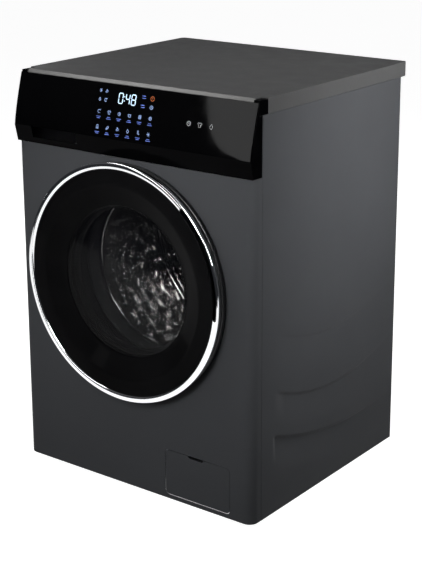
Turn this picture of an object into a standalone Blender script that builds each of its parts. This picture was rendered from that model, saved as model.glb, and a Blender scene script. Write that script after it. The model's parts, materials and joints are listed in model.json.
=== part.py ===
"""Front-load washing machine, built the way the real one is assembled.

Metres, +Z up, front towards -Y. The origin is on the floor under the middle of the bounding box.
"""
import math

import bmesh
import bpy
from mathutils import Matrix, Vector

# ---------------------------------------------------------------- driving dimensions (metres)
WIDTH = 0.595
HEIGHT = 0.850
BODY_DEPTH = 0.530          # front panel face to the rear edge of the side panels
DOOR_PROUD = 0.036          # how far the door stands out of the front panel
TOP_OVERHANG = 0.024        # how far the worktop reaches past the side panels at the rear
GAP = 0.0003                # between pieces that touch
SHEET = 0.0012              # steel sheet of the cabinet
CORNER_RADIUS = 0.020       # vertical front corners
FRONT_RETURN = 0.030        # depth of the front panel's side returns
FLANGE = 0.015              # folded edges of the side panels
TOP_THICK = 0.030
TOP_WALL = 0.012
TOP_SKIN = 0.014
TOP_SETBACK = 0.022         # worktop front edge behind the front panel face
FOOT_HEIGHT = 0.012
FOOT_RADIUS = 0.022
STEM_RADIUS = 0.005
FOOT_INSET = 0.042          # foot centre in from the side
FOOT_FROM_FRONT = 0.060
FOOT_FROM_REAR = 0.050
TRAY_HEIGHT = 0.024
TRAY_WALL = 0.0020

CONSOLE_HEIGHT = 0.146      # console bottom edge to worktop surface
CHIN_HEIGHT = 0.036         # part of the console below its glass
CONSOLE_BULGE = 0.007       # console's foremost line in front of the front panel
CONSOLE_TOP_BACK = 0.018    # console's top edge behind the front panel face
CONSOLE_WALL = 0.0025
GLASS_THICK = 0.003
GLASS_EDGE = 0.0015         # console glass in from the console's ends
SEAM = 0.0008               # gap between the drawer front and the console glass
DRAWER_FRONT_WIDTH = 0.207
HOOK_WIDTH = 0.0145         # console end caps that close the worktop's front corners
HOOK_BACK = 0.047

DRAWER_WIDTH = 0.172
DRAWER_LENGTH = 0.225
DRAWER_DEPTH = 0.058
DRAWER_WALL = 0.0025
MAIN_WASH_SHARE = 0.60      # of the drawer's width
SOFTENER_SHARE = 0.52       # of the drawer's length
DRAWER_FROM_SIDE = 0.0205   # drawer's left wall in from the cabinet's side
DRAWER_FLOOR_UP = 0.048     # drawer's underside above the console bottom
DRAWER_CLEAR = 0.0015
DRAWER_CORE = 0.0215        # rear face of the drawer front's block behind the front panel face
HOUSING_WALL = 0.0030
HOUSING_SUMP = 0.012        # depth of the channel under the drawer

DOOR_BELOW_CONSOLE = 0.246  # door's centre below the console's lower edge
DOOR_RADIUS = 0.2435
DOOR_GAP = 0.0025           # door's back to the front panel
RING_BAND = 0.0135          # chrome ring, radial
RING_LIP = 0.0035           # ring's thin outer band, left whole at the finger recess
RING_DEPTH = 0.0075
SHOULDER_INSET = 0.0455     # in from the door's edge to where the cover's rim turns in
WINDOW_INSET = 0.0895       # and to the window
WINDOW_DEPTH = 0.0185       # window edge behind the cover's rim
COVER_THICK = 0.003
GLASS_WALL = 0.0045
BOWL_LENGTH = 0.098
BOWL_TAPER = 0.034          # bowl's radius is this much less at its far end
RECESS_WALL = 0.0025        # door frame left outside the finger recess
RECESS_UNDERCUT = 0.0130    # how far the finger recess reaches in behind the cover
RECESS_DEPTH = 0.0220
RECESS_FROM = -7.0          # degrees round the door from +X
RECESS_TO = 49.0
HINGE_AXIS_IN = 0.0055      # hinge axis in from the door's left edge
HINGE_AXIS_OUT = 0.020      # hinge axis in front of the front panel face
HINGE_HALF = 0.050
HINGE_PIN_RADIUS = 0.003
OPENING_INSET = 0.0655      # cabinet's opening in from the door's edge
LATCH_INSET = 0.0385
LATCH_SLOT_HEIGHT = 0.016

FLAP_WIDTH = 0.160
FLAP_HEIGHT = 0.096
FLAP_FROM_RIGHT = 0.0535
FLAP_UP = 0.010             # flap's lower edge above the cabinet's lower edge
FLAP_THICK = 0.0025
FLAP_CORNER = 0.009
FLAP_CLEAR = 0.0010

DRUM_RADIUS = 0.243
DRUM_WALL = 0.0015
DRUM_FRONT = 0.105          # drum's front lip behind the front panel face
DRUM_DEPTH = 0.285
DRUM_MOUTH_INSET = 0.007    # drum's mouth inside the tub's neck
LIFTER_HEIGHT = 0.050
LIFTER_WALL = 0.0015
TUB_CLEAR = 0.019
TUB_WALL = 0.004
TUB_NECK_INSET = 0.006      # tub's neck inside the cabinet's opening
TUB_NECK_LENGTH = 0.026
TUB_FLANGE = 0.010
HUB_RADIUS = 0.048
SHAFT_RADIUS = 0.015
SHAFT_TAIL_RADIUS = 0.0125
BEARING_FRONT_RADIUS = 0.031
BEARING_REAR_RADIUS = 0.026
BEARING_WIDTH = 0.016
SEAL_WIDTH = 0.007
PULLEY_RADIUS = 0.145
PULLEY_WIDTH = 0.016
MOTOR_PULLEY_RADIUS = 0.011
MOTOR_RADIUS = 0.062
MOTOR_LENGTH = 0.085
MOTOR_DROP = 0.330          # motor axis below the drum axis
MOTOR_TO_PULLEY = 0.012     # motor's rear face to the pulley's front edge
BELT_THICK = 0.003
HEATER_ROD = 0.004
WEIGHT_DEPTH = 0.040
DAMPER_X = 0.150
DAMPER_BACK = 0.215
SPRING_X = 0.225
SPRING_BACK = 0.335
SPRING_RADIUS = 0.014
SPRING_WIRE = 0.0020
BRACE_HEIGHT = 0.020
BRACE_DROP = 0.004          # brace's top below the worktop's underside
BRACE_DEPTH = 0.030
BRACE_SHEET = 0.002

ROUND = 36                  # facets of the large turned pieces
MEDIUM = 20
SMALL = 12

# ---------------------------------------------------------------- places worked out from them
HALF = WIDTH / 2
DEPTH = DOOR_PROUD + BODY_DEPTH + TOP_OVERHANG
FRONT = -DEPTH / 2 + DOOR_PROUD
REAR = FRONT + BODY_DEPTH
FLOOR_EDGE = FOOT_HEIGHT
TOP_UNDER = HEIGHT - TOP_THICK
CONSOLE_Z = HEIGHT - CONSOLE_HEIGHT
CHIN_Z = CONSOLE_Z + CHIN_HEIGHT
GLASS_TOP = HEIGHT - 0.006
DRAWER_SEAM = -HALF + DRAWER_FRONT_WIDTH
DOOR_Z = CONSOLE_Z - DOOR_BELOW_CONSOLE
SHOULDER_RADIUS = DOOR_RADIUS - SHOULDER_INSET
WINDOW_RADIUS = DOOR_RADIUS - WINDOW_INSET
DOOR_OPENING_RADIUS = DOOR_RADIUS - OPENING_INSET
LATCH_X = DOOR_RADIUS - LATCH_INSET
TUB_NECK = DOOR_OPENING_RADIUS - TUB_NECK_INSET
DRUM_MOUTH = TUB_NECK - DRUM_MOUTH_INSET
TUB_INNER = DRUM_RADIUS + TUB_CLEAR
TUB_OUTER = TUB_INNER + TUB_WALL
TUB_FRONT_Y = FRONT + DRUM_FRONT - 0.009
TUB_SEAM_Y = FRONT + DRUM_FRONT + 0.195
DRUM_BACK_Y = FRONT + DRUM_FRONT + DRUM_DEPTH
TUB_BACK_Y = DRUM_BACK_Y + 0.042
HUB_FRONT_Y = DRUM_BACK_Y + 0.020
HUB_BACK_Y = TUB_BACK_Y + 0.042
PULLEY_Y = HUB_BACK_Y + 0.008
MOTOR_Z = DOOR_Z - MOTOR_DROP
HINGE_X = -DOOR_RADIUS + HINGE_AXIS_IN
HINGE_Y = FRONT - HINGE_AXIS_OUT
FLAP_X = HALF - FLAP_FROM_RIGHT - FLAP_WIDTH / 2
FLAP_Z = FLOOR_EDGE + FLAP_UP + FLAP_HEIGHT / 2
DRAWER_LEFT = -HALF + DRAWER_FROM_SIDE
DRAWER_X = DRAWER_LEFT + DRAWER_WIDTH / 2
DRAWER_Z = CONSOLE_Z + DRAWER_FLOOR_UP
RIM_Y = FRONT - DOOR_PROUD + 0.0012
RING_BACK_Y = FRONT - DOOR_PROUD + RING_DEPTH
COVER_RADIUS = DOOR_RADIUS - RING_BAND - GAP
FRAME_RADIUS = DOOR_RADIUS - RING_LIP
WINDOW_Y = RIM_Y + WINDOW_DEPTH
BOWL_FLANGE_Y = WINDOW_Y + COVER_THICK + 0.0015
BOWL_FLANGE_THICK = 0.006
BOWL_FLANGE_RADIUS = WINDOW_RADIUS + 0.012
FRAME_INNER = BOWL_FLANGE_RADIUS + 0.003


# ---------------------------------------------------------------- modelling helpers
def clear_scene():
    for obj in list(bpy.data.objects):
        bpy.data.objects.remove(obj, do_unlink=True)


def make_material(name, colour, roughness, metallic=0.0, alpha=1.0):
    material = bpy.data.materials.new(name)
    material.use_nodes = True
    shader = material.node_tree.nodes["Principled BSDF"]
    shader.inputs["Base Color"].default_value = (*colour, 1.0)
    shader.inputs["Roughness"].default_value = roughness
    shader.inputs["Metallic"].default_value = metallic
    shader.inputs["Alpha"].default_value = alpha
    return material


def add_object(name, mesh_builder, material, location=(0.0, 0.0, 0.0)):
    """Makes an object from a bmesh, with its faces pointing out."""
    bmesh.ops.recalc_face_normals(mesh_builder, faces=mesh_builder.faces)
    mesh = bpy.data.meshes.new(name)
    mesh_builder.to_mesh(mesh)
    mesh_builder.free()
    obj = bpy.data.objects.new(name, mesh)
    obj.location = location
    bpy.context.scene.collection.objects.link(obj)
    if material is not None:
        mesh.materials.append(material)
    return obj


def round_shading(obj):
    obj.data.shade_smooth()
    obj.data.set_sharp_from_angle(angle=math.radians(35))
    return obj


def turned(name, profile, material, centre, segments=ROUND, axis="Y"):
    """Turns a closed outline of (radius, distance along the axis) round the axis through centre."""
    builder = bmesh.new()
    rings = []
    for radius, along in profile:
        if radius <= 0.0:
            rings.append([builder.verts.new((0.0, 0.0, along))])
            continue
        ring = []
        for step in range(segments):
            angle = 2 * math.pi * step / segments
            ring.append(builder.verts.new((radius * math.cos(angle), radius * math.sin(angle), along)))
        rings.append(ring)
    for first, second in zip(rings, rings[1:] + rings[:1]):
        if len(first) == 1 and len(second) == 1:
            continue
        for step in range(segments):
            after = (step + 1) % segments
            corners = [first[step % len(first)], first[after % len(first)],
                       second[after % len(second)], second[step % len(second)]]
            builder.faces.new(list(dict.fromkeys(corners)))
    if axis == "Y":
        turn = Matrix.Rotation(math.radians(-90), 4, "X")
        builder.transform(turn)
    obj = add_object(name, builder, material, centre)
    return round_shading(obj)


def extruded(name, outline, material, axis, start, end):
    """Extrudes a closed outline along one axis. The outline holds the two other coordinates in order."""
    builder = bmesh.new()

    def place(pair, along):
        first, second = pair
        if axis == "X":
            return (along, first, second)
        if axis == "Y":
            return (first, along, second)
        return (first, second, along)

    low = [builder.verts.new(place(pair, start)) for pair in outline]
    high = [builder.verts.new(place(pair, end)) for pair in outline]
    count = len(outline)
    builder.faces.new(low)
    builder.faces.new(list(reversed(high)))
    for step in range(count):
        after = (step + 1) % count
        builder.faces.new((low[step], low[after], high[after], high[step]))
    return add_object(name, builder, material)


def block(name, low, high, material=None):
    outline = [(low[0], low[1]), (high[0], low[1]), (high[0], high[1]), (low[0], high[1])]
    return extruded(name, outline, material, "Z", low[2], high[2])


def rod(name, start, end, radius, material=None, segments=SMALL):
    """A straight round bar between two points."""
    start, end = Vector(start), Vector(end)
    if end.z < start.z:
        start, end = end, start
    builder = bmesh.new()
    bmesh.ops.create_cone(builder, cap_ends=True, segments=segments, radius1=radius, radius2=radius,
                          depth=(end - start).length)
    turn = Vector((0, 0, 1)).rotation_difference(end - start).to_matrix().to_4x4()
    builder.transform(Matrix.Translation((start + end) / 2) @ turn)
    return add_object(name, builder, material)


def swept(name, points, radius, material, sides=8):
    """A round tube along points, closed at both ends."""
    builder = bmesh.new()
    rings = []
    points = [Vector(point) for point in points]
    normal = None
    for index, point in enumerate(points):
        before = points[max(index - 1, 0)]
        after = points[min(index + 1, len(points) - 1)]
        forward = (after - before).normalized()
        if normal is None:
            normal = forward.orthogonal().normalized()
        normal = (normal - forward * normal.dot(forward)).normalized()
        side = forward.cross(normal)
        ring = []
        for step in range(sides):
            angle = 2 * math.pi * step / sides
            offset = normal * math.cos(angle) + side * math.sin(angle)
            ring.append(builder.verts.new(point + offset * radius))
        rings.append(ring)
    for first, second in zip(rings, rings[1:]):
        for step in range(sides):
            after = (step + 1) % sides
            builder.faces.new((first[step], first[after], second[after], second[step]))
    builder.faces.new(rings[0])
    builder.faces.new(rings[-1])
    return round_shading(add_object(name, builder, material))


def as_tool(obj):
    obj.hide_render = True
    obj.display_type = "WIRE"
    return obj


def combine(obj, tool, operation):
    modifier = obj.modifiers.new(f"{operation.lower()}_{tool.name}", "BOOLEAN")
    modifier.operation = operation
    modifier.solver = "EXACT"
    modifier.object = as_tool(tool)
    return obj


def cut(obj, tool):
    return combine(obj, tool, "DIFFERENCE")


def join(obj, tool):
    return combine(obj, tool, "UNION")


def put_origin(obj, point):
    """Moves an object's origin to a point of its joint's axis, leaving its shape where it is."""
    point = Vector(point)
    obj.data.transform(Matrix.Translation(obj.location - point))
    obj.location = point
    return obj


def rounded_rectangle(centre, width, height, radius, steps=3):
    points = []
    corners = ((1, 1, 0), (-1, 1, 90), (-1, -1, 180), (1, -1, 270))
    for side, up, start in corners:
        middle = (centre[0] + side * (width / 2 - radius), centre[1] + up * (height / 2 - radius))
        for step in range(steps + 1):
            angle = math.radians(start + 90 * step / steps)
            points.append((middle[0] + radius * math.cos(angle), middle[1] + radius * math.sin(angle)))
    return points


def smooth_path(knots, per_span=5):
    """Points on a Catmull-Rom curve through the knots."""
    knots = [Vector(knot) for knot in knots]
    ends = [knots[0] * 2 - knots[1]] + knots + [knots[-1] * 2 - knots[-2]]
    points = []
    for p0, p1, p2, p3 in zip(ends, ends[1:], ends[2:], ends[3:]):
        for step in range(per_span):
            t = step / per_span
            points.append(0.5 * ((2 * p1) + (p2 - p0) * t + (2 * p0 - 5 * p1 + 4 * p2 - p3) * t * t
                                 + (3 * p1 - p0 - 3 * p2 + p3) * t * t * t))
    points.append(knots[-1])
    return points


def sector(name, inner, outer, from_degrees, to_degrees, start, end, material, steps=10):
    """Part of a ring round the door and drum axis, extruded along Y."""
    outline = []
    for radius, first, last in ((outer, from_degrees, to_degrees), (inner, to_degrees, from_degrees)):
        for step in range(steps + 1):
            angle = math.radians(first + (last - first) * step / steps)
            outline.append((radius * math.cos(angle), DOOR_Z + radius * math.sin(angle)))
    return extruded(name, outline, material, "Y", start, end)


# ---------------------------------------------------------------- materials
GRAPHITE = make_material("graphite_paint", (0.070, 0.073, 0.078), 0.42, 0.0)
GALVANISED = make_material("galvanised_steel", (0.50, 0.51, 0.52), 0.38, 1.0)
BLACK_GLOSS = make_material("black_gloss", (0.008, 0.008, 0.009), 0.10)
BLACK_PLASTIC = make_material("black_plastic", (0.018, 0.018, 0.019), 0.45)
CHROME = make_material("chrome", (0.86, 0.87, 0.88), 0.06, 1.0)
SMOKED = make_material("smoked_glass", (0.020, 0.021, 0.024), 0.04, 0.0, 0.55)
CLEAR = make_material("clear_glass", (0.75, 0.80, 0.80), 0.03, 0.0, 0.25)
STAINLESS = make_material("stainless_steel", (0.62, 0.62, 0.61), 0.24, 1.0)
GREY_RUBBER = make_material("grey_rubber", (0.16, 0.165, 0.17), 0.70)
BLACK_RUBBER = make_material("black_rubber", (0.015, 0.015, 0.015), 0.75)
TUB_PLASTIC = make_material("tub_plastic", (0.42, 0.43, 0.43), 0.55)
WHITE_PLASTIC = make_material("white_plastic", (0.72, 0.73, 0.72), 0.40)
ALUMINIUM = make_material("cast_aluminium", (0.58, 0.59, 0.60), 0.42, 1.0)
CONCRETE = make_material("concrete", (0.36, 0.35, 0.33), 0.90)
BOARD_GREEN = make_material("circuit_board", (0.02, 0.14, 0.07), 0.50)
SPRING_STEEL = make_material("spring_steel", (0.30, 0.31, 0.32), 0.35, 1.0)


# ---------------------------------------------------------------- cabinet
def bent_front(offset):
    """Plan of the front panel's skin, from the left return round both corners to the right return."""
    radius = CORNER_RADIUS - offset
    points = [(-HALF + offset, FRONT + FRONT_RETURN)]
    for step in range(6):
        angle = math.radians(180 + 90 * step / 5)
        points.append((-HALF + CORNER_RADIUS + radius * math.cos(angle),
                       FRONT + CORNER_RADIUS + radius * math.sin(angle)))
    for step in range(6):
        angle = math.radians(270 + 90 * step / 5)
        points.append((HALF - CORNER_RADIUS + radius * math.cos(angle),
                       FRONT + CORNER_RADIUS + radius * math.sin(angle)))
    points.append((HALF - offset, FRONT + FRONT_RETURN))
    return points


def front_panel():
    outline = bent_front(0.0) + list(reversed(bent_front(SHEET)))
    panel = extruded("front_panel", outline, GRAPHITE, "Z", FLOOR_EDGE, CONSOLE_Z - GAP)
    reach = 0.02
    cut(panel, rod("door_opening", (0, FRONT - reach, DOOR_Z), (0, FRONT + reach, DOOR_Z),
                   DOOR_OPENING_RADIUS, segments=ROUND))
    opening = rounded_rectangle((FLAP_X, FLAP_Z), FLAP_WIDTH + 2 * FLAP_CLEAR,
                                FLAP_HEIGHT + 2 * FLAP_CLEAR, FLAP_CORNER + FLAP_CLEAR)
    cut(panel, extruded("flap_opening", opening, None, "Y", FRONT - reach, FRONT + reach))
    slot_half = LATCH_SLOT_HEIGHT / 2
    cut(panel, block("latch_slot", (LATCH_X - 0.008, FRONT - reach, DOOR_Z - slot_half),
                     (LATCH_X + 0.014, FRONT + reach, DOOR_Z + slot_half)))


def side_panel(name, side):
    """A sheet with folded front and rear edges. side is -1 on the left and +1 on the right."""
    outer = side * HALF
    inner = side * (HALF - SHEET)
    fold = side * (HALF - FLANGE)
    start = FRONT + FRONT_RETURN + GAP
    outline = [(outer, start), (outer, REAR), (fold, REAR), (fold, REAR - SHEET), (inner, REAR - SHEET),
               (inner, start + SHEET), (fold, start + SHEET), (fold, start)]
    return extruded(name, outline, GRAPHITE, "Z", FLOOR_EDGE, TOP_UNDER - GAP)


REAR_COVER_RADIUS = 0.185
INLET_X = -HALF + 0.070
INLET_Z = TOP_UNDER - 0.050
INLET_RADIUS = 0.0125
OUTLET_X = HALF - 0.050
OUTLET_Z = TOP_UNDER - 0.080
OUTLET_RADIUS = 0.010
GLAND_X = HALF - 0.110
GLAND_RADIUS = 0.008
REAR_INSET = 0.004
HOLE_CLEAR = 0.0012


def rear_panel():
    face = REAR - SHEET - GAP
    panel = block("rear_panel", (-HALF + REAR_INSET, face - SHEET, FLOOR_EDGE + TRAY_HEIGHT + GAP),
                  (HALF - REAR_INSET, face, TOP_UNDER - GAP), GRAPHITE)
    reach = 0.03
    for name, x, z, radius in (("service_hole", 0.0, DOOR_Z, REAR_COVER_RADIUS - 0.014),
                               ("inlet_hole", INLET_X, INLET_Z, INLET_RADIUS + HOLE_CLEAR),
                               ("outlet_hole", OUTLET_X, OUTLET_Z, OUTLET_RADIUS + HOLE_CLEAR),
                               ("gland_hole", GLAND_X, OUTLET_Z, GLAND_RADIUS + HOLE_CLEAR)):
        segments = ROUND if radius > 0.05 else SMALL
        cut(panel, rod(name, (x, face - reach, z), (x, face + reach, z), radius, segments=segments))


def rear_cover():
    face = REAR - SHEET
    dish = 0.012
    profile = [(REAR_COVER_RADIUS, face), (REAR_COVER_RADIUS, face + SHEET),
               (REAR_COVER_RADIUS - 0.020, face + SHEET), (REAR_COVER_RADIUS - 0.028, face + dish),
               (0.0, face + dish), (0.0, face + dish - SHEET),
               (REAR_COVER_RADIUS - 0.029, face + dish - SHEET), (REAR_COVER_RADIUS - 0.021, face)]
    return turned("rear_cover", profile, GRAPHITE, (0, 0, DOOR_Z))


def top_plate():
    front = FRONT + TOP_SETBACK
    back = REAR + TOP_OVERHANG
    notch_y = FRONT + HOOK_BACK + GAP
    notch_x = HALF - HOOK_WIDTH
    radius = 0.010
    outline = [(-notch_x, front), (notch_x, front), (notch_x, notch_y), (HALF, notch_y)]
    for side, start in ((1, 0), (-1, 90)):
        for step in range(4):
            angle = math.radians(start + 90 * step / 3)
            outline.append((side * (HALF - radius) + radius * math.cos(angle),
                            back - radius + radius * math.sin(angle)))
    outline += [(-HALF, notch_y), (-notch_x, notch_y)]
    plate = extruded("top_plate", outline, GRAPHITE, "Z", TOP_UNDER, HEIGHT)
    cut(plate, block("top_underside", (-HALF + TOP_WALL, notch_y + TOP_WALL, TOP_UNDER - 0.01),
                     (HALF - TOP_WALL, back - TOP_OVERHANG - TOP_WALL, HEIGHT - TOP_SKIN)))
    chamfer = HEIGHT - GLASS_TOP
    edge = [(front - 0.002, HEIGHT - chamfer - 0.002), (front - 0.002, HEIGHT + 0.002),
            (front + chamfer + 0.002, HEIGHT + 0.002)]
    cut(plate, extruded("top_front_edge", edge, None, "X", -HALF, HALF))


def base_tray():
    side = HALF - SHEET - GAP
    front = FRONT + FRONT_RETURN + SHEET + 2 * GAP
    back = REAR - SHEET - GAP
    low, high = FLOOR_EDGE, FLOOR_EDGE + TRAY_HEIGHT
    tray = block("base_tray", (-side, front, low), (side, back, high), GALVANISED)
    cut(tray, block("tray_inside", (-side + TRAY_WALL, front + TRAY_WALL, low + TRAY_WALL),
                    (side - TRAY_WALL, back - TRAY_WALL, high + 0.01)))
    for index, (x, y) in enumerate(foot_places()):
        cut(tray, rod(f"stem_hole_{index}", (x, y, low - 0.01), (x, y, low + 0.02), STEM_RADIUS + GAP))


def foot_places():
    places = []
    for y in (FRONT + FOOT_FROM_FRONT, REAR - FOOT_FROM_REAR):
        for side in (-1, 1):
            places.append((side * (HALF - FOOT_INSET), y))
    return places


def feet():
    names = ("foot_front_left", "foot_front_right", "foot_rear_left", "foot_rear_right")
    profile = [(0.0, 0.0), (FOOT_RADIUS - 0.003, 0.0), (FOOT_RADIUS, 0.003), (FOOT_RADIUS, 0.0055),
               (STEM_RADIUS + 0.004, FOOT_HEIGHT - 0.0045), (STEM_RADIUS + 0.004, FOOT_HEIGHT - GAP),
               (STEM_RADIUS, FOOT_HEIGHT - GAP), (STEM_RADIUS, FOOT_HEIGHT + 0.024),
               (0.0, FOOT_HEIGHT + 0.024)]
    for name, (x, y) in zip(names, foot_places()):
        turned(name, profile, BLACK_RUBBER, (x, y, 0.0), segments=SMALL, axis="Z")


def top_brace():
    side = HALF - SHEET - GAP
    middle = FRONT + SPRING_BACK
    high = TOP_UNDER - BRACE_DROP
    low = high - BRACE_HEIGHT
    sheet = BRACE_SHEET
    near, far = middle - BRACE_DEPTH / 2, middle + BRACE_DEPTH / 2
    outline = [(near, low), (near, high), (far, high), (far, low), (far - sheet, low),
               (far - sheet, high - sheet), (near + sheet, high - sheet), (near + sheet, low)]
    return extruded("top_brace", outline, GALVANISED, "X", -side, side)


# ---------------------------------------------------------------- control console
def console_curve(inset, low, high, steps=4):
    """The console's slightly convex front in side view, bottom to top, set back by inset."""
    points = []
    for step in range(steps + 1):
        share = step / steps
        z = low + (high - low) * share
        whole = max((z - CHIN_Z) / (GLASS_TOP - CHIN_Z), 0.0)
        y = -CONSOLE_BULGE + (CONSOLE_BULGE + CONSOLE_TOP_BACK) * whole ** 1.25
        points.append((FRONT + y + inset, z))
    return points


CONSOLE_BACK = FRONT + FRONT_RETURN - 0.0012
DRAWER_OPEN_LOW = DRAWER_Z - DRAWER_CLEAR
DRAWER_OPEN_HIGH = DRAWER_Z + DRAWER_DEPTH + DRAWER_CLEAR


def console_body():
    seat = GLASS_THICK + GAP
    lip = CHIN_Z - GAP
    outline = [(FRONT + 0.001, CONSOLE_Z), (FRONT - CONSOLE_BULGE + 0.001, lip - 0.004),
               (FRONT - CONSOLE_BULGE, lip)]
    outline += console_curve(seat, lip, GLASS_TOP - 0.001)
    top_y = FRONT + TOP_SETBACK - GAP
    outline += [(top_y, GLASS_TOP - 0.001), (top_y, TOP_UNDER - GAP),
                (CONSOLE_BACK, TOP_UNDER - GAP), (CONSOLE_BACK, CONSOLE_Z)]
    body = extruded("console_body", outline, BLACK_PLASTIC, "X", -HALF, HALF)
    wall = seat + CONSOLE_WALL
    inside = [(FRONT + 0.0005 + CONSOLE_WALL, CONSOLE_Z + CONSOLE_WALL)]
    inside += console_curve(wall, CHIN_Z - 0.010, TOP_UNDER - CONSOLE_WALL - GAP)
    inside += [(CONSOLE_BACK + 0.01, TOP_UNDER - CONSOLE_WALL - GAP),
               (CONSOLE_BACK + 0.01, CONSOLE_Z + CONSOLE_WALL)]
    cut(body, extruded("console_inside", inside, None, "X", -HALF + CONSOLE_WALL, HALF - CONSOLE_WALL))
    for name, side in (("console_hook_left", -1), ("console_hook_right", 1)):
        near, far = sorted((side * HALF, side * (HALF - HOOK_WIDTH + GAP)))
        hook_front = FRONT + CONSOLE_TOP_BACK + seat
        hook = [(hook_front, TOP_UNDER - CONSOLE_WALL), (CONSOLE_BACK - GAP, TOP_UNDER - CONSOLE_WALL),
                (CONSOLE_BACK - GAP, TOP_UNDER + GAP), (FRONT + HOOK_BACK, TOP_UNDER + GAP),
                (FRONT + HOOK_BACK, HEIGHT - 0.002), (hook_front, HEIGHT - 0.002)]
        join(body, extruded(name, hook, None, "X", near, far))
    margin = DRAWER_CLEAR
    cut(body, block("drawer_opening", (DRAWER_LEFT - margin, FRONT - 0.05, DRAWER_OPEN_LOW),
                    (DRAWER_LEFT + DRAWER_WIDTH + margin, FRONT + 0.05, DRAWER_OPEN_HIGH)))
    grip = [(FRONT - 0.02, CONSOLE_Z + 0.010), (FRONT + 0.014, CONSOLE_Z + 0.014),
            (FRONT + 0.014, CHIN_Z - 0.002), (FRONT - 0.02, CHIN_Z + 0.004)]
    cut(body, extruded("drawer_grip", grip, None, "X", DRAWER_X - 0.060, DRAWER_X + 0.060))


def glass_outline():
    skin = console_curve(0.0, CHIN_Z, GLASS_TOP)
    return skin + list(reversed(console_curve(GLASS_THICK, CHIN_Z, GLASS_TOP)))


def console_glass():
    extruded("console_glass", glass_outline(), BLACK_GLOSS, "X", DRAWER_SEAM + SEAM / 2, HALF - GLASS_EDGE)


def drawer_front():
    front = extruded("drawer_front", glass_outline(), BLACK_GLOSS, "X", -HALF + GLASS_EDGE,
                     DRAWER_SEAM - SEAM / 2)
    low, high = DRAWER_Z, DRAWER_Z + DRAWER_DEPTH
    back = console_curve(GLASS_THICK - 0.001, low, high, steps=3)
    back += [(FRONT + DRAWER_CORE, high), (FRONT + DRAWER_CORE, low)]
    join(front, extruded("drawer_front_core", back, None, "X", DRAWER_LEFT, DRAWER_LEFT + DRAWER_WIDTH))


def display_board():
    """A circuit board with the light module, lying parallel to the console glass."""
    low, high = DRAWER_Z - 0.002, TOP_UNDER - 0.010
    set_back = GLASS_THICK + CONSOLE_WALL + 0.006
    outline = console_curve(set_back, low, high, steps=1)
    outline += list(reversed(console_curve(set_back + 0.0016, low, high, steps=1)))
    left = DRAWER_SEAM + 0.004
    board = extruded("display_board", outline, BOARD_GREEN, "X", left, left + 0.300)
    module = console_curve(set_back - 0.005, low + 0.006, high - 0.006, steps=1)
    module += list(reversed(console_curve(set_back + 0.001, low + 0.006, high - 0.006, steps=1)))
    join(board, extruded("light_module", module, None, "X", left + 0.010, left + 0.165))


# ---------------------------------------------------------------- detergent drawer
def detergent_drawer():
    front = FRONT + DRAWER_CORE + GAP
    back = front + DRAWER_LENGTH
    right = DRAWER_LEFT + DRAWER_WIDTH
    tray = block("detergent_drawer", (DRAWER_LEFT, front, DRAWER_Z),
                 (right, back, DRAWER_Z + DRAWER_DEPTH), WHITE_PLASTIC)
    split = DRAWER_LEFT + DRAWER_WIDTH * MAIN_WASH_SHARE
    middle = front + DRAWER_LENGTH * SOFTENER_SHARE
    wall = DRAWER_WALL
    pockets = (("main_wash", DRAWER_LEFT + wall, split, front + wall, back - wall),
               ("softener", split + wall, right - wall, front + wall, middle),
               ("prewash", split + wall, right - wall, middle + wall, back - wall))
    for name, left_side, right_side, near, far in pockets:
        cut(tray, block(name, (left_side, near, DRAWER_Z + wall),
                        (right_side, far, DRAWER_Z + DRAWER_DEPTH + 0.01)))


def dispenser_housing():
    clear = DRAWER_CLEAR
    wall = HOUSING_WALL
    front = CONSOLE_BACK + 0.0012
    back = FRONT + DRAWER_CORE + DRAWER_LENGTH + 0.012
    left, right = DRAWER_LEFT - clear, DRAWER_LEFT + DRAWER_WIDTH + clear
    low, high = DRAWER_Z - clear, DRAWER_Z + DRAWER_DEPTH + clear
    drop = HOUSING_SUMP
    housing = block("dispenser_housing", (left - wall, front, low - drop - wall),
                    (right + wall, back, min(high + wall, TOP_UNDER - 0.0006)), TUB_PLASTIC)
    cut(housing, block("housing_inside", (left, front - 0.01, low), (right, back - wall, high)))
    cut(housing, block("housing_sump", (left, front + wall, low - drop), (right, back - wall, high - 0.01)))
    return housing


# ---------------------------------------------------------------- inlet valve and dispenser hose
def inlet_valve():
    rear = REAR + 0.014
    bore = INLET_RADIUS - 0.003
    neck = INLET_RADIUS - 0.002
    collar = INLET_RADIUS + 0.008
    seat = REAR - SHEET * 2 - 2 * GAP
    profile = [(0.0, REAR - 0.060), (neck, REAR - 0.060), (neck, REAR - 0.012), (collar, REAR - 0.012),
               (collar, seat), (INLET_RADIUS, seat), (INLET_RADIUS, rear), (bore, rear),
               (bore, REAR - 0.004), (0.0, REAR - 0.004)]
    valve = turned("inlet_valve", profile, WHITE_PLASTIC, (INLET_X, 0, INLET_Z), segments=MEDIUM)
    coil_y = REAR - 0.040
    join(valve, rod("valve_coil", (INLET_X, coil_y, INLET_Z), (INLET_X, coil_y, INLET_Z - 0.045), 0.015))


def mains_gland():
    inner = REAR - SHEET * 2 - GAP
    bore = 0.0045
    profile = [(GLAND_RADIUS, inner - 0.006), (GLAND_RADIUS, REAR + 0.002),
               (GLAND_RADIUS + 0.004, REAR + 0.002), (GLAND_RADIUS + 0.003, REAR + 0.012),
               (bore, REAR + 0.012), (bore, inner - 0.006)]
    turned("mains_gland", profile, BLACK_PLASTIC, (GLAND_X, 0, OUTLET_Z), segments=MEDIUM)


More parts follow.
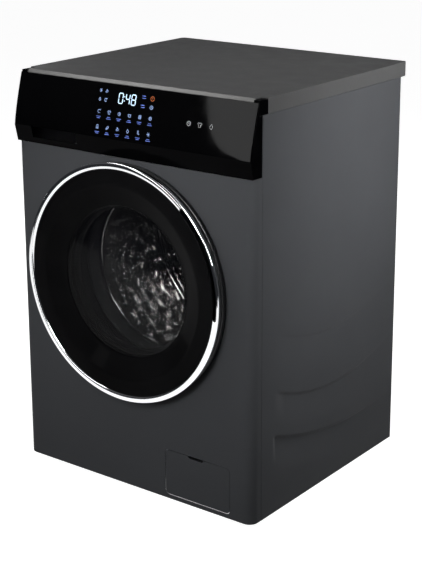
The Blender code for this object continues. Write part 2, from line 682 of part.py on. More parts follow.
def drain_hose():
    """The inner drain hose, from the pump up the right rear corner and out through the rear panel."""
    side = HALF - 0.024
    rear = REAR - 0.034
    route = [(FLAP_X + CHAMBER_RADIUS + 0.0016, FRONT + 0.090, PUMP_Z), (FLAP_X + 0.050, FRONT + 0.090, PUMP_Z),
             (side - 0.012, FRONT + 0.108, PUMP_Z - 0.004), (side, FRONT + 0.180, PUMP_Z - 0.008),
             (side, rear - 0.060, PUMP_Z - 0.006), (side, rear, PUMP_Z + 0.060), (side, rear, OUTLET_Z - 0.070),
             (OUTLET_X + 0.014, rear, OUTLET_Z - 0.020), (OUTLET_X, REAR - 0.022, OUTLET_Z),
             (OUTLET_X, REAR - 0.008, OUTLET_Z), (OUTLET_X, REAR + 0.016, OUTLET_Z)]
    swept("drain_hose", smooth_path(route, per_span=3), OUTLET_RADIUS, BLACK_RUBBER, sides=8)


HOSE_X = DRAWER_X + 0.020
HOSE_Y = FRONT + 0.205


def dispenser_hose():
    """A corrugated sleeve from the dispenser's outlet down to the tub."""
    top = DRAWER_Z - DRAWER_CLEAR - HOUSING_SUMP - HOUSING_WALL - GAP
    reach = TUB_OUTER ** 2 - (abs(HOSE_X) - 0.018) ** 2
    bottom = DOOR_Z + math.sqrt(reach) + 0.002
    outer, inner, ribs = 0.018, 0.013, 3
    pitch = (top - bottom) / (2 * ribs)
    profile = [(inner, bottom)]
    for index in range(2 * ribs + 1):
        profile.append((outer - (0.003 if index % 2 else 0.0), bottom + index * pitch))
    profile.append((inner, top))
    turned("dispenser_hose", profile, BLACK_RUBBER, (HOSE_X, HOSE_Y, 0.0), segments=SMALL, axis="Z")


# ---------------------------------------------------------------- door
def recess_tool(name, inner, outer, front, back):
    return sector(name, inner, outer, RECESS_FROM, RECESS_TO, front, back, None, steps=8)


def door_frame():
    rim = COVER_RADIUS + GAP
    step_y = RIM_Y + COVER_THICK + GAP
    back = FRONT - DOOR_GAP
    ring_y = RING_BACK_Y + GAP
    profile = [(FRAME_RADIUS, back), (FRAME_RADIUS, ring_y), (rim, ring_y), (rim, step_y),
               (SHOULDER_RADIUS + 0.002, step_y), (FRAME_INNER, WINDOW_Y + COVER_THICK + 0.003),
               (FRAME_INNER, back)]
    frame = turned("door_frame", profile, BLACK_PLASTIC, (0, 0, DOOR_Z))
    cut(frame, recess_tool("frame_recess", COVER_RADIUS - RECESS_UNDERCUT, FRAME_RADIUS - RECESS_WALL,
                           FRONT - DOOR_PROUD - 0.01, RIM_Y + RECESS_DEPTH))
    cut(frame, block("hinge_pocket", (HINGE_X - 0.02, FRONT - 0.0285, DOOR_Z - HINGE_HALF - 0.012),
                     (HINGE_X + 0.026, FRONT + 0.01, DOOR_Z + HINGE_HALF + 0.012)))
    cut(frame, block("latch_pocket", (LATCH_X - 0.009, FRONT - 0.022, DOOR_Z - 0.0045),
                     (LATCH_X + 0.009, FRONT + 0.01, DOOR_Z + 0.0045)))


def door_ring():
    inner = DOOR_RADIUS - RING_BAND
    front = FRONT - DOOR_PROUD
    profile = [(DOOR_RADIUS, RING_BACK_Y), (DOOR_RADIUS, front + 0.0015), (DOOR_RADIUS - 0.0012, front),
               (DOOR_RADIUS - RING_LIP, front + 0.0006), (inner, RIM_Y + 0.0012), (inner, RING_BACK_Y)]
    ring = turned("door_ring", profile, CHROME, (0, 0, DOOR_Z), segments=ROUND)
    cut(ring, recess_tool("ring_recess", inner - 0.01, FRAME_RADIUS, front - 0.01, RING_BACK_Y + 0.01))


def door_cover():
    """The smoked cover: a flat rim, a slope inwards and a slightly domed window."""
    thick = COVER_THICK
    dome = 0.004
    profile = [(COVER_RADIUS, RIM_Y + thick), (COVER_RADIUS, RIM_Y + 0.001), (COVER_RADIUS - 0.002, RIM_Y),
               (SHOULDER_RADIUS + 0.004, RIM_Y - 0.0006), (SHOULDER_RADIUS - 0.004, RIM_Y + 0.0012),
               (WINDOW_RADIUS + 0.004, WINDOW_Y - 0.0010), (WINDOW_RADIUS - 0.004, WINDOW_Y),
               (WINDOW_RADIUS * 0.5, WINDOW_Y - dome * 0.8), (0.0, WINDOW_Y - dome),
               (0.0, WINDOW_Y - dome + thick), (WINDOW_RADIUS * 0.5, WINDOW_Y - dome * 0.8 + thick),
               (WINDOW_RADIUS - 0.004, WINDOW_Y + thick), (WINDOW_RADIUS + 0.004, WINDOW_Y + thick),
               (SHOULDER_RADIUS, RIM_Y + thick)]
    return turned("door_cover", profile, SMOKED, (0, 0, DOOR_Z))


def bowl_radius(share):
    return WINDOW_RADIUS - 0.004 - BOWL_TAPER * share


def door_bowl():
    """The glass bowl: a flange behind the cover and a tapering cup that reaches into the drum mouth."""
    start = BOWL_FLANGE_Y
    back = start + BOWL_FLANGE_THICK
    end = FRONT + BOWL_LENGTH - 0.003
    corner = 0.018
    far = bowl_radius(1.0)
    wall = GLASS_WALL
    ease = corner * 0.3
    outer = [(BOWL_FLANGE_RADIUS, start), (BOWL_FLANGE_RADIUS, back), (bowl_radius(0.0), back),
             (far, end - corner), (far - ease, end - ease), (far - corner, end), (0.0, end + 0.002)]
    inner = [(0.0, end + 0.002 - wall), (far - corner, end - wall), (far - ease - wall, end - ease - wall),
             (far - wall, end - corner), (bowl_radius(0.0) - wall, start)]
    turned("door_bowl", outer + inner, CLEAR, (0, 0, DOOR_Z))


def door_back_ring():
    """The ring that clamps the bowl's flange from behind."""
    seat = BOWL_FLANGE_Y + BOWL_FLANGE_THICK + GAP
    outer = FRAME_INNER - 0.0004
    inner = bowl_radius(0.0) + 0.003
    profile = [(inner, seat), (outer, seat), (outer, FRONT + 0.004), (outer - 0.004, FRONT + 0.008),
               (inner + 0.005, FRONT + 0.008), (inner, FRONT + 0.004)]
    turned("door_back_ring", profile, BLACK_PLASTIC, (0, 0, DOOR_Z))


def hinge():
    """The fixed bracket with its pin, and the leaf that turns with the door."""
    reach = HINGE_HALF
    arm = 0.004
    face = FRONT - GAP
    plate = block("hinge_bracket", (HINGE_X - 0.002, face - 0.002, DOOR_Z - reach - arm),
                  (HINGE_X + 0.024, face, DOOR_Z + reach + arm), GALVANISED)
    for name, z in (("hinge_arm_low", DOOR_Z - reach - arm), ("hinge_arm_high", DOOR_Z + reach)):
        join(plate, block(name, (HINGE_X - 0.003, HINGE_Y, z), (HINGE_X + 0.003, face - 0.0005, z + arm)))
        join(plate, rod(name + "_eye", (HINGE_X, HINGE_Y, z), (HINGE_X, HINGE_Y, z + arm), 0.0055))
    join(plate, rod("hinge_pin", (HINGE_X, HINGE_Y, DOOR_Z - reach - arm - 0.002),
                    (HINGE_X, HINGE_Y, DOOR_Z + reach + arm + 0.002), HINGE_PIN_RADIUS))
    barrel_half = reach - GAP
    leaf = rod("hinge_leaf", (HINGE_X, HINGE_Y, DOOR_Z - barrel_half),
               (HINGE_X, HINGE_Y, DOOR_Z + barrel_half), 0.0060, GALVANISED)
    join(leaf, block("leaf_plate", (HINGE_X, HINGE_Y - 0.002, DOOR_Z - barrel_half),
                     (HINGE_X + 0.026 - GAP, HINGE_Y + 0.002, DOOR_Z + barrel_half)))
    cut(leaf, rod("leaf_bore", (HINGE_X, HINGE_Y, DOOR_Z - reach * 1.5),
                  (HINGE_X, HINGE_Y, DOOR_Z + reach * 1.5), HINGE_PIN_RADIUS + GAP))
    put_origin(leaf, (HINGE_X, HINGE_Y, DOOR_Z))


LATCH_PIVOT_Y = FRONT - 0.014


def latch_hook():
    x, pivot = LATCH_X, LATCH_PIVOT_Y
    outline = [(x - 0.004, pivot - 0.004), (x + 0.004, pivot - 0.004), (x + 0.004, FRONT + 0.014),
               (x + 0.010, FRONT + 0.016), (x + 0.004, FRONT + 0.024), (x - 0.004, FRONT + 0.024)]
    hook = extruded("latch_hook", outline, GALVANISED, "Z", DOOR_Z - 0.003, DOOR_Z + 0.003)
    put_origin(hook, (x, pivot, DOOR_Z))


def door_lock():
    face = FRONT + SHEET + GAP
    lock = block("door_lock", (LATCH_X - 0.016, face, DOOR_Z - 0.035),
                 (LATCH_X + 0.024, face + 0.036, DOOR_Z + 0.035), BLACK_PLASTIC)
    cut(lock, block("lock_mouth", (LATCH_X - 0.010, face - 0.01, DOOR_Z - 0.009),
                    (LATCH_X + 0.019, face + 0.031, DOOR_Z + 0.009)))


# ---------------------------------------------------------------- filter flap and drain pump
PUMP_Z = FLAP_Z - 0.002
CHAMBER_RADIUS = 0.030
CHAMBER_FRONT = FRONT + 0.0165
CHAMBER_BACK = FRONT + 0.110
CHAMBER_BORE = 0.0240
PUMP_INLET_Y = FRONT + 0.075
PUMP_INLET_Z = PUMP_Z + 0.050
FLAP_AXIS_Z = FLAP_Z - FLAP_HEIGHT / 2


def filter_flap():
    outline = rounded_rectangle((FLAP_X, FLAP_Z), FLAP_WIDTH, FLAP_HEIGHT, FLAP_CORNER)
    flap = extruded("filter_flap", outline, GRAPHITE, "Y", FRONT, FRONT + FLAP_THICK)
    top = FLAP_Z + FLAP_HEIGHT / 2
    slot = rounded_rectangle((FLAP_X - 0.004, top), 0.038, 0.010, 0.004)
    cut(flap, extruded("flap_slot", slot, None, "Y", FRONT - 0.01, FRONT + 0.01))
    put_origin(flap, (FLAP_X, FRONT, FLAP_AXIS_Z))


def drain_pump():
    profile = [(0.0, CHAMBER_BACK + 0.055), (0.024, CHAMBER_BACK + 0.055), (0.026, CHAMBER_BACK),
               (CHAMBER_RADIUS, CHAMBER_BACK), (CHAMBER_RADIUS, CHAMBER_FRONT), (CHAMBER_BORE, CHAMBER_FRONT),
               (CHAMBER_BORE, CHAMBER_BACK - 0.015), (0.0, CHAMBER_BACK - 0.015)]
    pump = turned("drain_pump", profile, TUB_PLASTIC, (FLAP_X, 0, PUMP_Z), segments=MEDIUM)
    join(pump, rod("pump_inlet", (FLAP_X, PUMP_INLET_Y, PUMP_Z + 0.026),
                   (FLAP_X, PUMP_INLET_Y, PUMP_INLET_Z), 0.014))
    join(pump, block("pump_foot", (FLAP_X - 0.018, FRONT + 0.046, FLOOR_EDGE + TRAY_WALL + GAP),
                     (FLAP_X + 0.018, FRONT + 0.086, PUMP_Z - 0.026)))


def filter_knob():
    plug = CHAMBER_BORE - 0.0006
    front = FRONT + 0.0115
    rim = CHAMBER_RADIUS - 0.002
    step_y, end = CHAMBER_FRONT + 0.024, CHAMBER_FRONT + 0.060
    profile = [(0.0, front), (rim, front), (rim, CHAMBER_FRONT - GAP), (plug, CHAMBER_FRONT - GAP),
               (plug, step_y), (plug - 0.006, step_y), (plug - 0.006, end), (0.0, end)]
    knob = turned("filter_knob", profile, WHITE_PLASTIC, (FLAP_X, 0, PUMP_Z), segments=MEDIUM)
    join(knob, block("knob_grip", (FLAP_X - 0.022, FRONT + 0.0040, PUMP_Z - 0.004),
                     (FLAP_X + 0.022, front + 0.001, PUMP_Z + 0.004)))


SUMP_X = 0.090
SUMP_Y = FRONT + 0.165
SUMP_HOSE_RADIUS = 0.016


def sump_hose():
    """Drops straight from the tub, which is lowest over the hose's inner edge, then turns to the pump."""
    top = DOOR_Z - math.sqrt(TUB_OUTER ** 2 - (SUMP_X - SUMP_HOSE_RADIUS) ** 2) - 0.0008
    inlet = PUMP_INLET_Z + GAP
    pump_y = PUMP_INLET_Y
    start = Vector((SUMP_X, SUMP_Y, top))
    route = [(SUMP_X, SUMP_Y, top - 0.008), (SUMP_X + 0.004, SUMP_Y - 0.003, top - 0.020),
             (SUMP_X + (FLAP_X - SUMP_X) * 0.4, (SUMP_Y + pump_y) / 2, inlet + 0.042),
             (FLAP_X - 0.014, pump_y + 0.016, inlet + 0.030), (FLAP_X - 0.002, pump_y + 0.002, inlet + 0.018),
             (FLAP_X, pump_y, inlet + 0.003)]
    swept("sump_hose", [start] + smooth_path(route, per_span=4), SUMP_HOSE_RADIUS, BLACK_RUBBER, sides=10)


# ---------------------------------------------------------------- tub, gasket and weights
def door_gasket():
    """The folded rubber sleeve between the cabinet opening and the tub neck."""
    lip = bowl_radius(0.22) + 0.0025
    start = FRONT + SHEET + 0.0006
    neck_y = TUB_FRONT_Y - TUB_NECK_LENGTH
    outer = DOOR_OPENING_RADIUS + 0.008
    neck = TUB_NECK + TUB_WALL
    profile = [(outer, start), (outer, start + 0.006), (outer - 0.004, start + 0.008),
               (outer - 0.004, start + 0.034), (outer + 0.006, start + 0.040), (outer + 0.006, start + 0.046),
               (neck + 0.006, neck_y - 0.006), (neck + 0.006, neck_y + 0.012),
               (neck + 0.0006, neck_y + 0.012), (neck + 0.0006, neck_y - 0.004),
               (outer + 0.001, start + 0.043), (outer + 0.001, start + 0.040), (outer - 0.009, start + 0.026),
               (lip + 0.006, start + 0.022), (lip, start + 0.016), (lip, start + 0.013),
               (outer - 0.009, start + 0.012), (outer - 0.009, start)]
    turned("door_gasket", profile, GREY_RUBBER, (0, 0, DOOR_Z))


def tub_front():
    neck_out = TUB_NECK + TUB_WALL
    flange = TUB_OUTER + TUB_FLANGE
    seam = TUB_SEAM_Y - GAP / 2
    neck_y = TUB_FRONT_Y - TUB_NECK_LENGTH
    profile = [(TUB_NECK, neck_y), (neck_out, neck_y), (neck_out, TUB_FRONT_Y),
               (TUB_OUTER, TUB_FRONT_Y), (TUB_OUTER, seam - 0.012), (flange, seam - 0.012), (flange, seam),
               (TUB_INNER, seam), (TUB_INNER, TUB_FRONT_Y + TUB_WALL), (TUB_NECK, TUB_FRONT_Y + TUB_WALL)]
    tub = turned("tub_front", profile, TUB_PLASTIC, (0, 0, DOOR_Z))
    near, far = 0.1, TUB_OUTER + 0.05
    cut(tub, rod("tub_fill_hole", (HOSE_X, HOSE_Y, DOOR_Z + near), (HOSE_X, HOSE_Y, DOOR_Z + far), 0.010))
    cut(tub, rod("tub_drain_hole", (SUMP_X, SUMP_Y, DOOR_Z - near), (SUMP_X, SUMP_Y, DOOR_Z - far), 0.013))


def tub_rear():
    flange = TUB_OUTER + TUB_FLANGE
    seam = TUB_SEAM_Y + GAP / 2
    front_seat = BEARING_FRONT_RADIUS + GAP
    rear_seat = BEARING_REAR_RADIUS + GAP
    bore = SHAFT_RADIUS + 0.006
    front_end = HUB_FRONT_Y + SEAL_WIDTH + BEARING_WIDTH + 0.001
    rear_end = HUB_BACK_Y - BEARING_WIDTH
    wall_y = TUB_BACK_Y - TUB_WALL - 0.001
    profile = [(TUB_INNER, seam), (flange, seam), (flange, seam + 0.012), (TUB_OUTER, seam + 0.012),
               (TUB_OUTER, TUB_BACK_Y), (HUB_RADIUS, TUB_BACK_Y), (HUB_RADIUS, HUB_BACK_Y),
               (rear_seat, HUB_BACK_Y), (rear_seat, rear_end), (bore, rear_end), (bore, front_end),
               (front_seat, front_end), (front_seat, HUB_FRONT_Y), (HUB_RADIUS, HUB_FRONT_Y),
               (HUB_RADIUS, wall_y), (TUB_INNER, wall_y)]
    tub = turned("tub_rear", profile, TUB_PLASTIC, (0, 0, DOOR_Z))
    for name, x in (("heater_hole_left", -HEATER_HALF), ("heater_hole_right", HEATER_HALF)):
        cut(tub, rod(name, (x, TUB_BACK_Y - 0.03, HEATER_Z), (x, TUB_BACK_Y + 0.03, HEATER_Z),
                     HEATER_ROD + 0.0008))


HEATER_HALF = 0.030
HEATER_TRACK = DRUM_RADIUS + DRUM_WALL + (TUB_CLEAR - DRUM_WALL) / 2
HEATER_Z = DOOR_Z - math.sqrt(HEATER_TRACK ** 2 - HEATER_HALF ** 2)


def heater():
    """A hairpin element lying in the space under the drum, its ends through the tub's rear wall."""
    near = TUB_SEAM_Y - 0.120
    points = [(-HEATER_HALF, TUB_BACK_Y + 0.012, HEATER_Z), (-HEATER_HALF, near, HEATER_Z)]
    for step in range(1, 8):
        angle = math.pi * step / 8
        points.append((-HEATER_HALF * math.cos(angle), near - HEATER_HALF * math.sin(angle), HEATER_Z))
    points += [(HEATER_HALF, near, HEATER_Z), (HEATER_HALF, TUB_BACK_Y + 0.012, HEATER_Z)]
    swept("heater", points, HEATER_ROD, STAINLESS, sides=8)


def counterweights():
    back = TUB_FRONT_Y - 0.0004
    front = back - WEIGHT_DEPTH
    inner = TUB_NECK + TUB_WALL + 0.014
    outer = TUB_OUTER - 0.008
    sector("counterweight_upper", inner, outer, 22, 158, front, back, CONCRETE)
    sector("counterweight_lower", inner, outer, 202, 338, front, back, CONCRETE)


# ---------------------------------------------------------------- drum and drive
def drum_shell():
    mouth_y = FRONT + DRUM_FRONT
    outer = DRUM_RADIUS + DRUM_WALL
    back = DRUM_BACK_Y - 0.0024
    wall = DRUM_WALL
    profile = [(DRUM_MOUTH, mouth_y), (DRUM_MOUTH + 0.006, mouth_y - 0.002), (outer - 0.008, mouth_y + 0.003),
               (outer, mouth_y + 0.011), (outer, back), (DRUM_RADIUS, back), (DRUM_RADIUS, mouth_y + 0.012),
               (outer - 0.009, mouth_y + 0.003 + wall), (DRUM_MOUTH + 0.006, mouth_y + wall - 0.0005),
               (DRUM_MOUTH, mouth_y + wall)]
    turned("drum_shell", profile, STAINLESS, (0, 0, DOOR_Z))


def drum_back():
    """The drum's rear wall, dished forward round the axle."""
    front = DRUM_BACK_Y - 0.002
    thick = DRUM_WALL
    outer = DRUM_RADIUS + DRUM_WALL
    dish = 0.012
    rim, flat = outer * 0.62, outer * 0.50
    profile = [(outer, front), (outer, front + thick), (rim, front + thick), (flat, front + thick - dish),
               (0.0, front + thick - dish), (0.0, front - dish), (flat - 0.002, front - dish),
               (rim - 0.002, front)]
    turned("drum_back", profile, STAINLESS, (0, 0, DOOR_Z))


def lifters():
    """Three paddles of folded sheet along the drum wall, a third of a turn apart."""
    near = FRONT + DRUM_FRONT + 0.022
    far = DRUM_BACK_Y - 0.018
    foot = DRUM_RADIUS - 0.0045
    crest = foot - LIFTER_HEIGHT
    waist = foot - LIFTER_HEIGHT * 0.55
    wall = LIFTER_WALL
    shape = [(0.030, foot), (0.018, waist), (0.008, crest + 0.003), (0.0, crest), (-0.008, crest + 0.003),
             (-0.018, waist), (-0.030, foot), (-0.030 + wall, foot), (-0.018 + wall, waist),
             (-0.007 + wall / 2, crest + 0.003 + wall), (0.0, crest + wall),
             (0.007 - wall / 2, crest + 0.003 + wall), (0.018 - wall, waist), (0.030 - wall, foot)]
    for index, degrees in enumerate((168, 288, 48)):
        angle = math.radians(degrees)
        out = (math.cos(angle), math.sin(angle))
        along = (-math.sin(angle), math.cos(angle))
        outline = [(t * along[0] + r * out[0], DOOR_Z + t * along[1] + r * out[1]) for t, r in shape]
        extruded(f"lifter_{index + 1}", outline, STAINLESS, "Y", near, far)


def drum_spider():
    """The three-armed casting with the drum shaft pressed into it as one piece."""
    front = DRUM_BACK_Y + 0.0004
    hub = 0.038
    step_y = HUB_BACK_Y - BEARING_WIDTH - 0.002
    tail_y = PULLEY_Y + PULLEY_WIDTH + 0.004
    profile = [(0.0, front), (hub, front), (hub, HUB_FRONT_Y - 0.003), (SHAFT_RADIUS, HUB_FRONT_Y - 0.003),
               (SHAFT_RADIUS, step_y), (SHAFT_TAIL_RADIUS, step_y), (SHAFT_TAIL_RADIUS, tail_y), (0.0, tail_y)]
    spider = turned("drum_spider", profile, ALUMINIUM, (0, 0, DOOR_Z), segments=MEDIUM)
    for index in range(3):
        angle = math.radians(90 + 120 * index)
        out = Vector((math.cos(angle), 0, math.sin(angle)))
        side = Vector((-math.sin(angle), 0, math.cos(angle)))
        outline = []
        root, tip = hub - 0.006, DRUM_RADIUS - 0.008
        for radial, across in ((root, 0.016), (tip, 0.010), (tip, -0.010), (root, -0.016)):
            spot = out * radial + side * across
            outline.append((spot.x, DOOR_Z + spot.z))
        join(spider, extruded(f"spider_arm_{index + 1}", outline, None, "Y", front + 0.0001, front + 0.013))


def bearings():
    seal_front = HUB_FRONT_Y + 0.0005
    front_start = HUB_FRONT_Y + SEAL_WIDTH + 0.0005
    rear_start = HUB_BACK_Y - BEARING_WIDTH + 0.0005
    seal, race = SEAL_WIDTH - 0.0005, BEARING_WIDTH - 0.001
    rows = (("shaft_seal", SHAFT_RADIUS, BEARING_FRONT_RADIUS, seal_front, seal, BLACK_RUBBER),
            ("bearing_front", SHAFT_RADIUS, BEARING_FRONT_RADIUS, front_start, race, SPRING_STEEL),
            ("bearing_rear", SHAFT_TAIL_RADIUS, BEARING_REAR_RADIUS, rear_start, race, SPRING_STEEL))
    for name, shaft, outer, start, width, material in rows:
        bore, end = shaft + GAP, start + width
        profile = [(bore, start), (outer, start), (outer, end), (bore, end)]
        turned(name, profile, material, (0, 0, DOOR_Z), segments=MEDIUM)


def drum_pulley():
    rim = PULLEY_RADIUS
    start, end = PULLEY_Y, PULLEY_Y + PULLEY_WIDTH
    web = 0.005
    bore, hub, band = SHAFT_TAIL_RADIUS + GAP, 0.026, rim - 0.008
    profile = [(bore, start), (hub, start), (hub + 0.004, start + web), (band, start + web), (band, start),
               (rim, start), (rim, end), (rim - 0.006, end), (band, start + 2 * web),
               (hub + 0.004, start + 2 * web), (hub, end), (bore, end)]
    pulley = turned("drum_pulley", profile, ALUMINIUM, (0, 0, DOOR_Z))
    window_track, window_radius = 0.084, 0.0317
    for index in range(5):
        angle = math.radians(93 + 72 * index)
        x, z = window_track * math.cos(angle), DOOR_Z + window_track * math.sin(angle)
        cut(pulley, rod(f"pulley_window_{index + 1}", (x, start - 0.013, z), (x, end + 0.011, z),
                        window_radius, segments=8))


def belt_loop(offset):
    """The belt's path in the XZ plane round both pulleys, offset outwards."""
    big, small = PULLEY_RADIUS + offset, MOTOR_PULLEY_RADIUS + offset
    lean = math.asin((big - small) / MOTOR_DROP)
    points = []
    for step in range(33):
        angle = -lean + (math.pi + 2 * lean) * step / 32
        points.append((big * math.cos(angle), DOOR_Z + big * math.sin(angle)))
    for step in range(9):
        angle = math.pi + lean + (math.pi - 2 * lean) * step / 8
        points.append((small * math.cos(angle), MOTOR_Z + small * math.sin(angle)))
    return points


def drive_belt():
    clear = 0.0008
    start, end = PULLEY_Y + 0.002, PULLEY_Y + PULLEY_WIDTH - 0.002
    belt = extruded("drive_belt", belt_loop(clear + BELT_THICK), BLACK_RUBBER, "Y", start, end)
    cut(belt, extruded("belt_inside", belt_loop(clear), None, "Y", start - 0.01, end + 0.01))


def motor():
    back = PULLEY_Y - MOTOR_TO_PULLEY
    front = back - MOTOR_LENGTH
    bore = 0.008
    profile = [(0.0, front), (MOTOR_RADIUS - 0.006, front), (MOTOR_RADIUS, front + 0.006),
               (MOTOR_RADIUS, back - 0.012), (0.030, back), (bore, back), (bore, back - 0.030),
               (0.0, back - 0.030)]
    body = turned("motor", profile, ALUMINIUM, (0, 0, MOTOR_Z), segments=MEDIUM)
    high = DOOR_Z - TUB_OUTER - 0.0005
    join(body, block("motor_saddle", (-0.030, front + 0.010, MOTOR_Z + MOTOR_RADIUS - 0.012),
                     (0.030, TUB_BACK_Y - 0.004, high)))


def motor_pulley():
    back = PULLEY_Y - MOTOR_TO_PULLEY
    shaft = 0.0065
    profile = [(0.0, back - 0.026), (shaft, back - 0.026), (shaft, PULLEY_Y), (MOTOR_PULLEY_RADIUS, PULLEY_Y),
               (MOTOR_PULLEY_RADIUS, PULLEY_Y + PULLEY_WIDTH), (0.0, PULLEY_Y + PULLEY_WIDTH)]
    turned("motor_pulley", profile, SPRING_STEEL, (0, 0, MOTOR_Z), segments=16)


# ---------------------------------------------------------------- suspension
def springs():
    """Two coil springs that hang the tub from the top brace."""
    top = TOP_UNDER - BRACE_DROP - 2 * BRACE_SHEET - 2 * GAP - SPRING_WIRE
    reach = (TUB_OUTER + TUB_FLANGE) ** 2 - (SPRING_X - SPRING_RADIUS) ** 2
    tub_side = DOOR_Z + math.sqrt(reach)
    bottom = tub_side + SPRING_WIRE + 0.004
    turns, steps = 8, 8
    for name, side in (("spring_left", -1), ("spring_right", 1)):
        x, y = side * SPRING_X, FRONT + SPRING_BACK
        points = [(x, y, bottom - 0.001)]
        for step in range(turns * steps + 1):
            angle = 2 * math.pi * step / steps
            height = bottom + 0.012 + (top - bottom - 0.024) * step / (turns * steps)
            points.append((x + SPRING_RADIUS * math.cos(angle), y + SPRING_RADIUS * math.sin(angle), height))
        points.append((x, y, top - 0.002))
        swept(name, points, SPRING_WIRE, SPRING_STEEL, sides=4)


def dampers():
    """Two friction dampers between the base tray and the tub."""
    floor = FLOOR_EDGE + TRAY_WALL + GAP
    top = floor + 0.110
    lug = DOOR_Z - math.sqrt((TUB_OUTER + 0.001) ** 2 - (DAMPER_X - 0.012) ** 2) - 0.004
    bore, bar = 0.0075, 0.0065
    wide, head = 0.018, 0.012
    cylinder = [(0.0, floor), (wide, floor), (wide, top), (bore, top), (bore, floor + 0.012),
                (0.0, floor + 0.012)]
    plunger = [(0.0, floor + 0.030), (bar, floor + 0.030), (bar, lug - 0.016), (head, lug - 0.016),
               (head, lug), (0.0, lug)]
    for side_name, side in (("left", -1), ("right", 1)):
        spot = (side * DAMPER_X, FRONT + DAMPER_BACK, 0.0)
        turned(f"damper_cylinder_{side_name}", cylinder, BLACK_PLASTIC, spot, segments=SMALL, axis="Z")
        turned(f"damper_rod_{side_name}", plunger, SPRING_STEEL, spot, segments=SMALL, axis="Z")


def main():
    clear_scene()
    front_panel()
    side_panel("side_panel_left", -1)
    side_panel("side_panel_right", 1)
    rear_panel()
    rear_cover()
    top_plate()
    base_tray()
    feet()
    top_brace()
    console_body()
    console_glass()
    display_board()
    drawer_front()
    detergent_drawer()
    dispenser_housing()
    inlet_valve()
    mains_gland()
    drain_hose()
    dispenser_hose()
    door_frame()
    door_ring()
    door_cover()
    door_bowl()
    door_back_ring()
    hinge()
    latch_hook()
    door_lock()
    filter_flap()
    drain_pump()
    filter_knob()
    sump_hose()
    door_gasket()
    tub_front()
    tub_rear()
    heater()
    counterweights()
    drum_shell()
    drum_back()
    lifters()
    drum_spider()
    bearings()
    drum_pulley()
    drive_belt()
    motor()
    motor_pulley()
    springs()
    dampers()


main()
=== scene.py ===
"""The looks of the front-load washing machine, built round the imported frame.

Metres, +Z up, front towards -Y. Repeated sizes are the ones the frame is made with.
"""
import json
import math
import random

import bmesh
import bpy
from mathutils import Matrix, Vector

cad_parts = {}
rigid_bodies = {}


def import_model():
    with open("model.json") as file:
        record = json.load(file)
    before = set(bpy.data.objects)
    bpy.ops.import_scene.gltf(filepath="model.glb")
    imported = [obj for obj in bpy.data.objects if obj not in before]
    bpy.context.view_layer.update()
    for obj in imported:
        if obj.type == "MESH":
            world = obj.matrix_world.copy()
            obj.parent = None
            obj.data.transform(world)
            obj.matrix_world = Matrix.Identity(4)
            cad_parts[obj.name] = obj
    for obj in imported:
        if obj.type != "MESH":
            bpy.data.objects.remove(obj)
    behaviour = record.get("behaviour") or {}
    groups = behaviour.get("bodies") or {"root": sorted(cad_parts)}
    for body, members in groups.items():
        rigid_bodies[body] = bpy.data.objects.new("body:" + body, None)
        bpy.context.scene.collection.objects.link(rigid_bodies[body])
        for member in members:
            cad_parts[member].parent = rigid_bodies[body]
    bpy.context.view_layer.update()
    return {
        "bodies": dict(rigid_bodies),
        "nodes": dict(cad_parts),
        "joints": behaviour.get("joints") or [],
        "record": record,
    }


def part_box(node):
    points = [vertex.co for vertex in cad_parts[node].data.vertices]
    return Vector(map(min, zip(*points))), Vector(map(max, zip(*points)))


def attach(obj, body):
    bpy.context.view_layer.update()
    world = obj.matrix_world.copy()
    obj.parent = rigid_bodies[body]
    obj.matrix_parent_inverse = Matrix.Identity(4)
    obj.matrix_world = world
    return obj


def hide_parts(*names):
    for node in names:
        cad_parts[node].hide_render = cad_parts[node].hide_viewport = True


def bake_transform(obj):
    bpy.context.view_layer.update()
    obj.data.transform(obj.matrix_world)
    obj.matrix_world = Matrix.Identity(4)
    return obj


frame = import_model()
NODES = frame["nodes"]
random.seed(11)

# ---------------------------------------------------------------- places, in metres
PANEL_LOW, PANEL_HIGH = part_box("front_panel")
FRONT = PANEL_LOW.y
HALF = PANEL_HIGH.x
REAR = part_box("side_panel_right")[1].y
TOP_LOW, TOP_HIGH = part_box("top_plate")
CONSOLE_LOW, CONSOLE_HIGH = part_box("console_body")
RING_LOW, RING_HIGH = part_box("door_ring")
DRUM_LOW, DRUM_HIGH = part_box("drum_shell")
DOOR_Z = (RING_LOW.z + RING_HIGH.z) / 2
DOOR_RADIUS = (RING_HIGH.x - RING_LOW.x) / 2
DOOR_FACE = RING_LOW.y
CONSOLE_Z = CONSOLE_LOW.z
CHIN_Z = CONSOLE_Z + 0.036
GLASS_TOP = TOP_HIGH.z - 0.006
CONSOLE_BULGE = 0.007
CONSOLE_TOP_BACK = 0.018
GLASS_THICK = 0.003
GLASS_EDGE = 0.0015
SEAM = 0.0008
DRAWER_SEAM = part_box("drawer_front")[1].x + SEAM / 2
RIM_Y = DOOR_FACE + 0.0012
RING_BACK_Y = RING_HIGH.y
COVER_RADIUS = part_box("door_cover")[1].x
SHOULDER_RADIUS = 0.198
WINDOW_RADIUS = 0.154
WINDOW_Y = RIM_Y + 0.0185
FRAME_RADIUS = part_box("door_frame")[1].x
RECESS_ANGLES = (-7.0, 49.0)
SHEET = 0.0012
GAP = 0.0003
WORKTOP_NOTCH_Y = FRONT + 0.0473
HOOK_WIDTH = 0.0142
DOOR_CENTRE = Vector((0.0, 0.0, DOOR_Z))


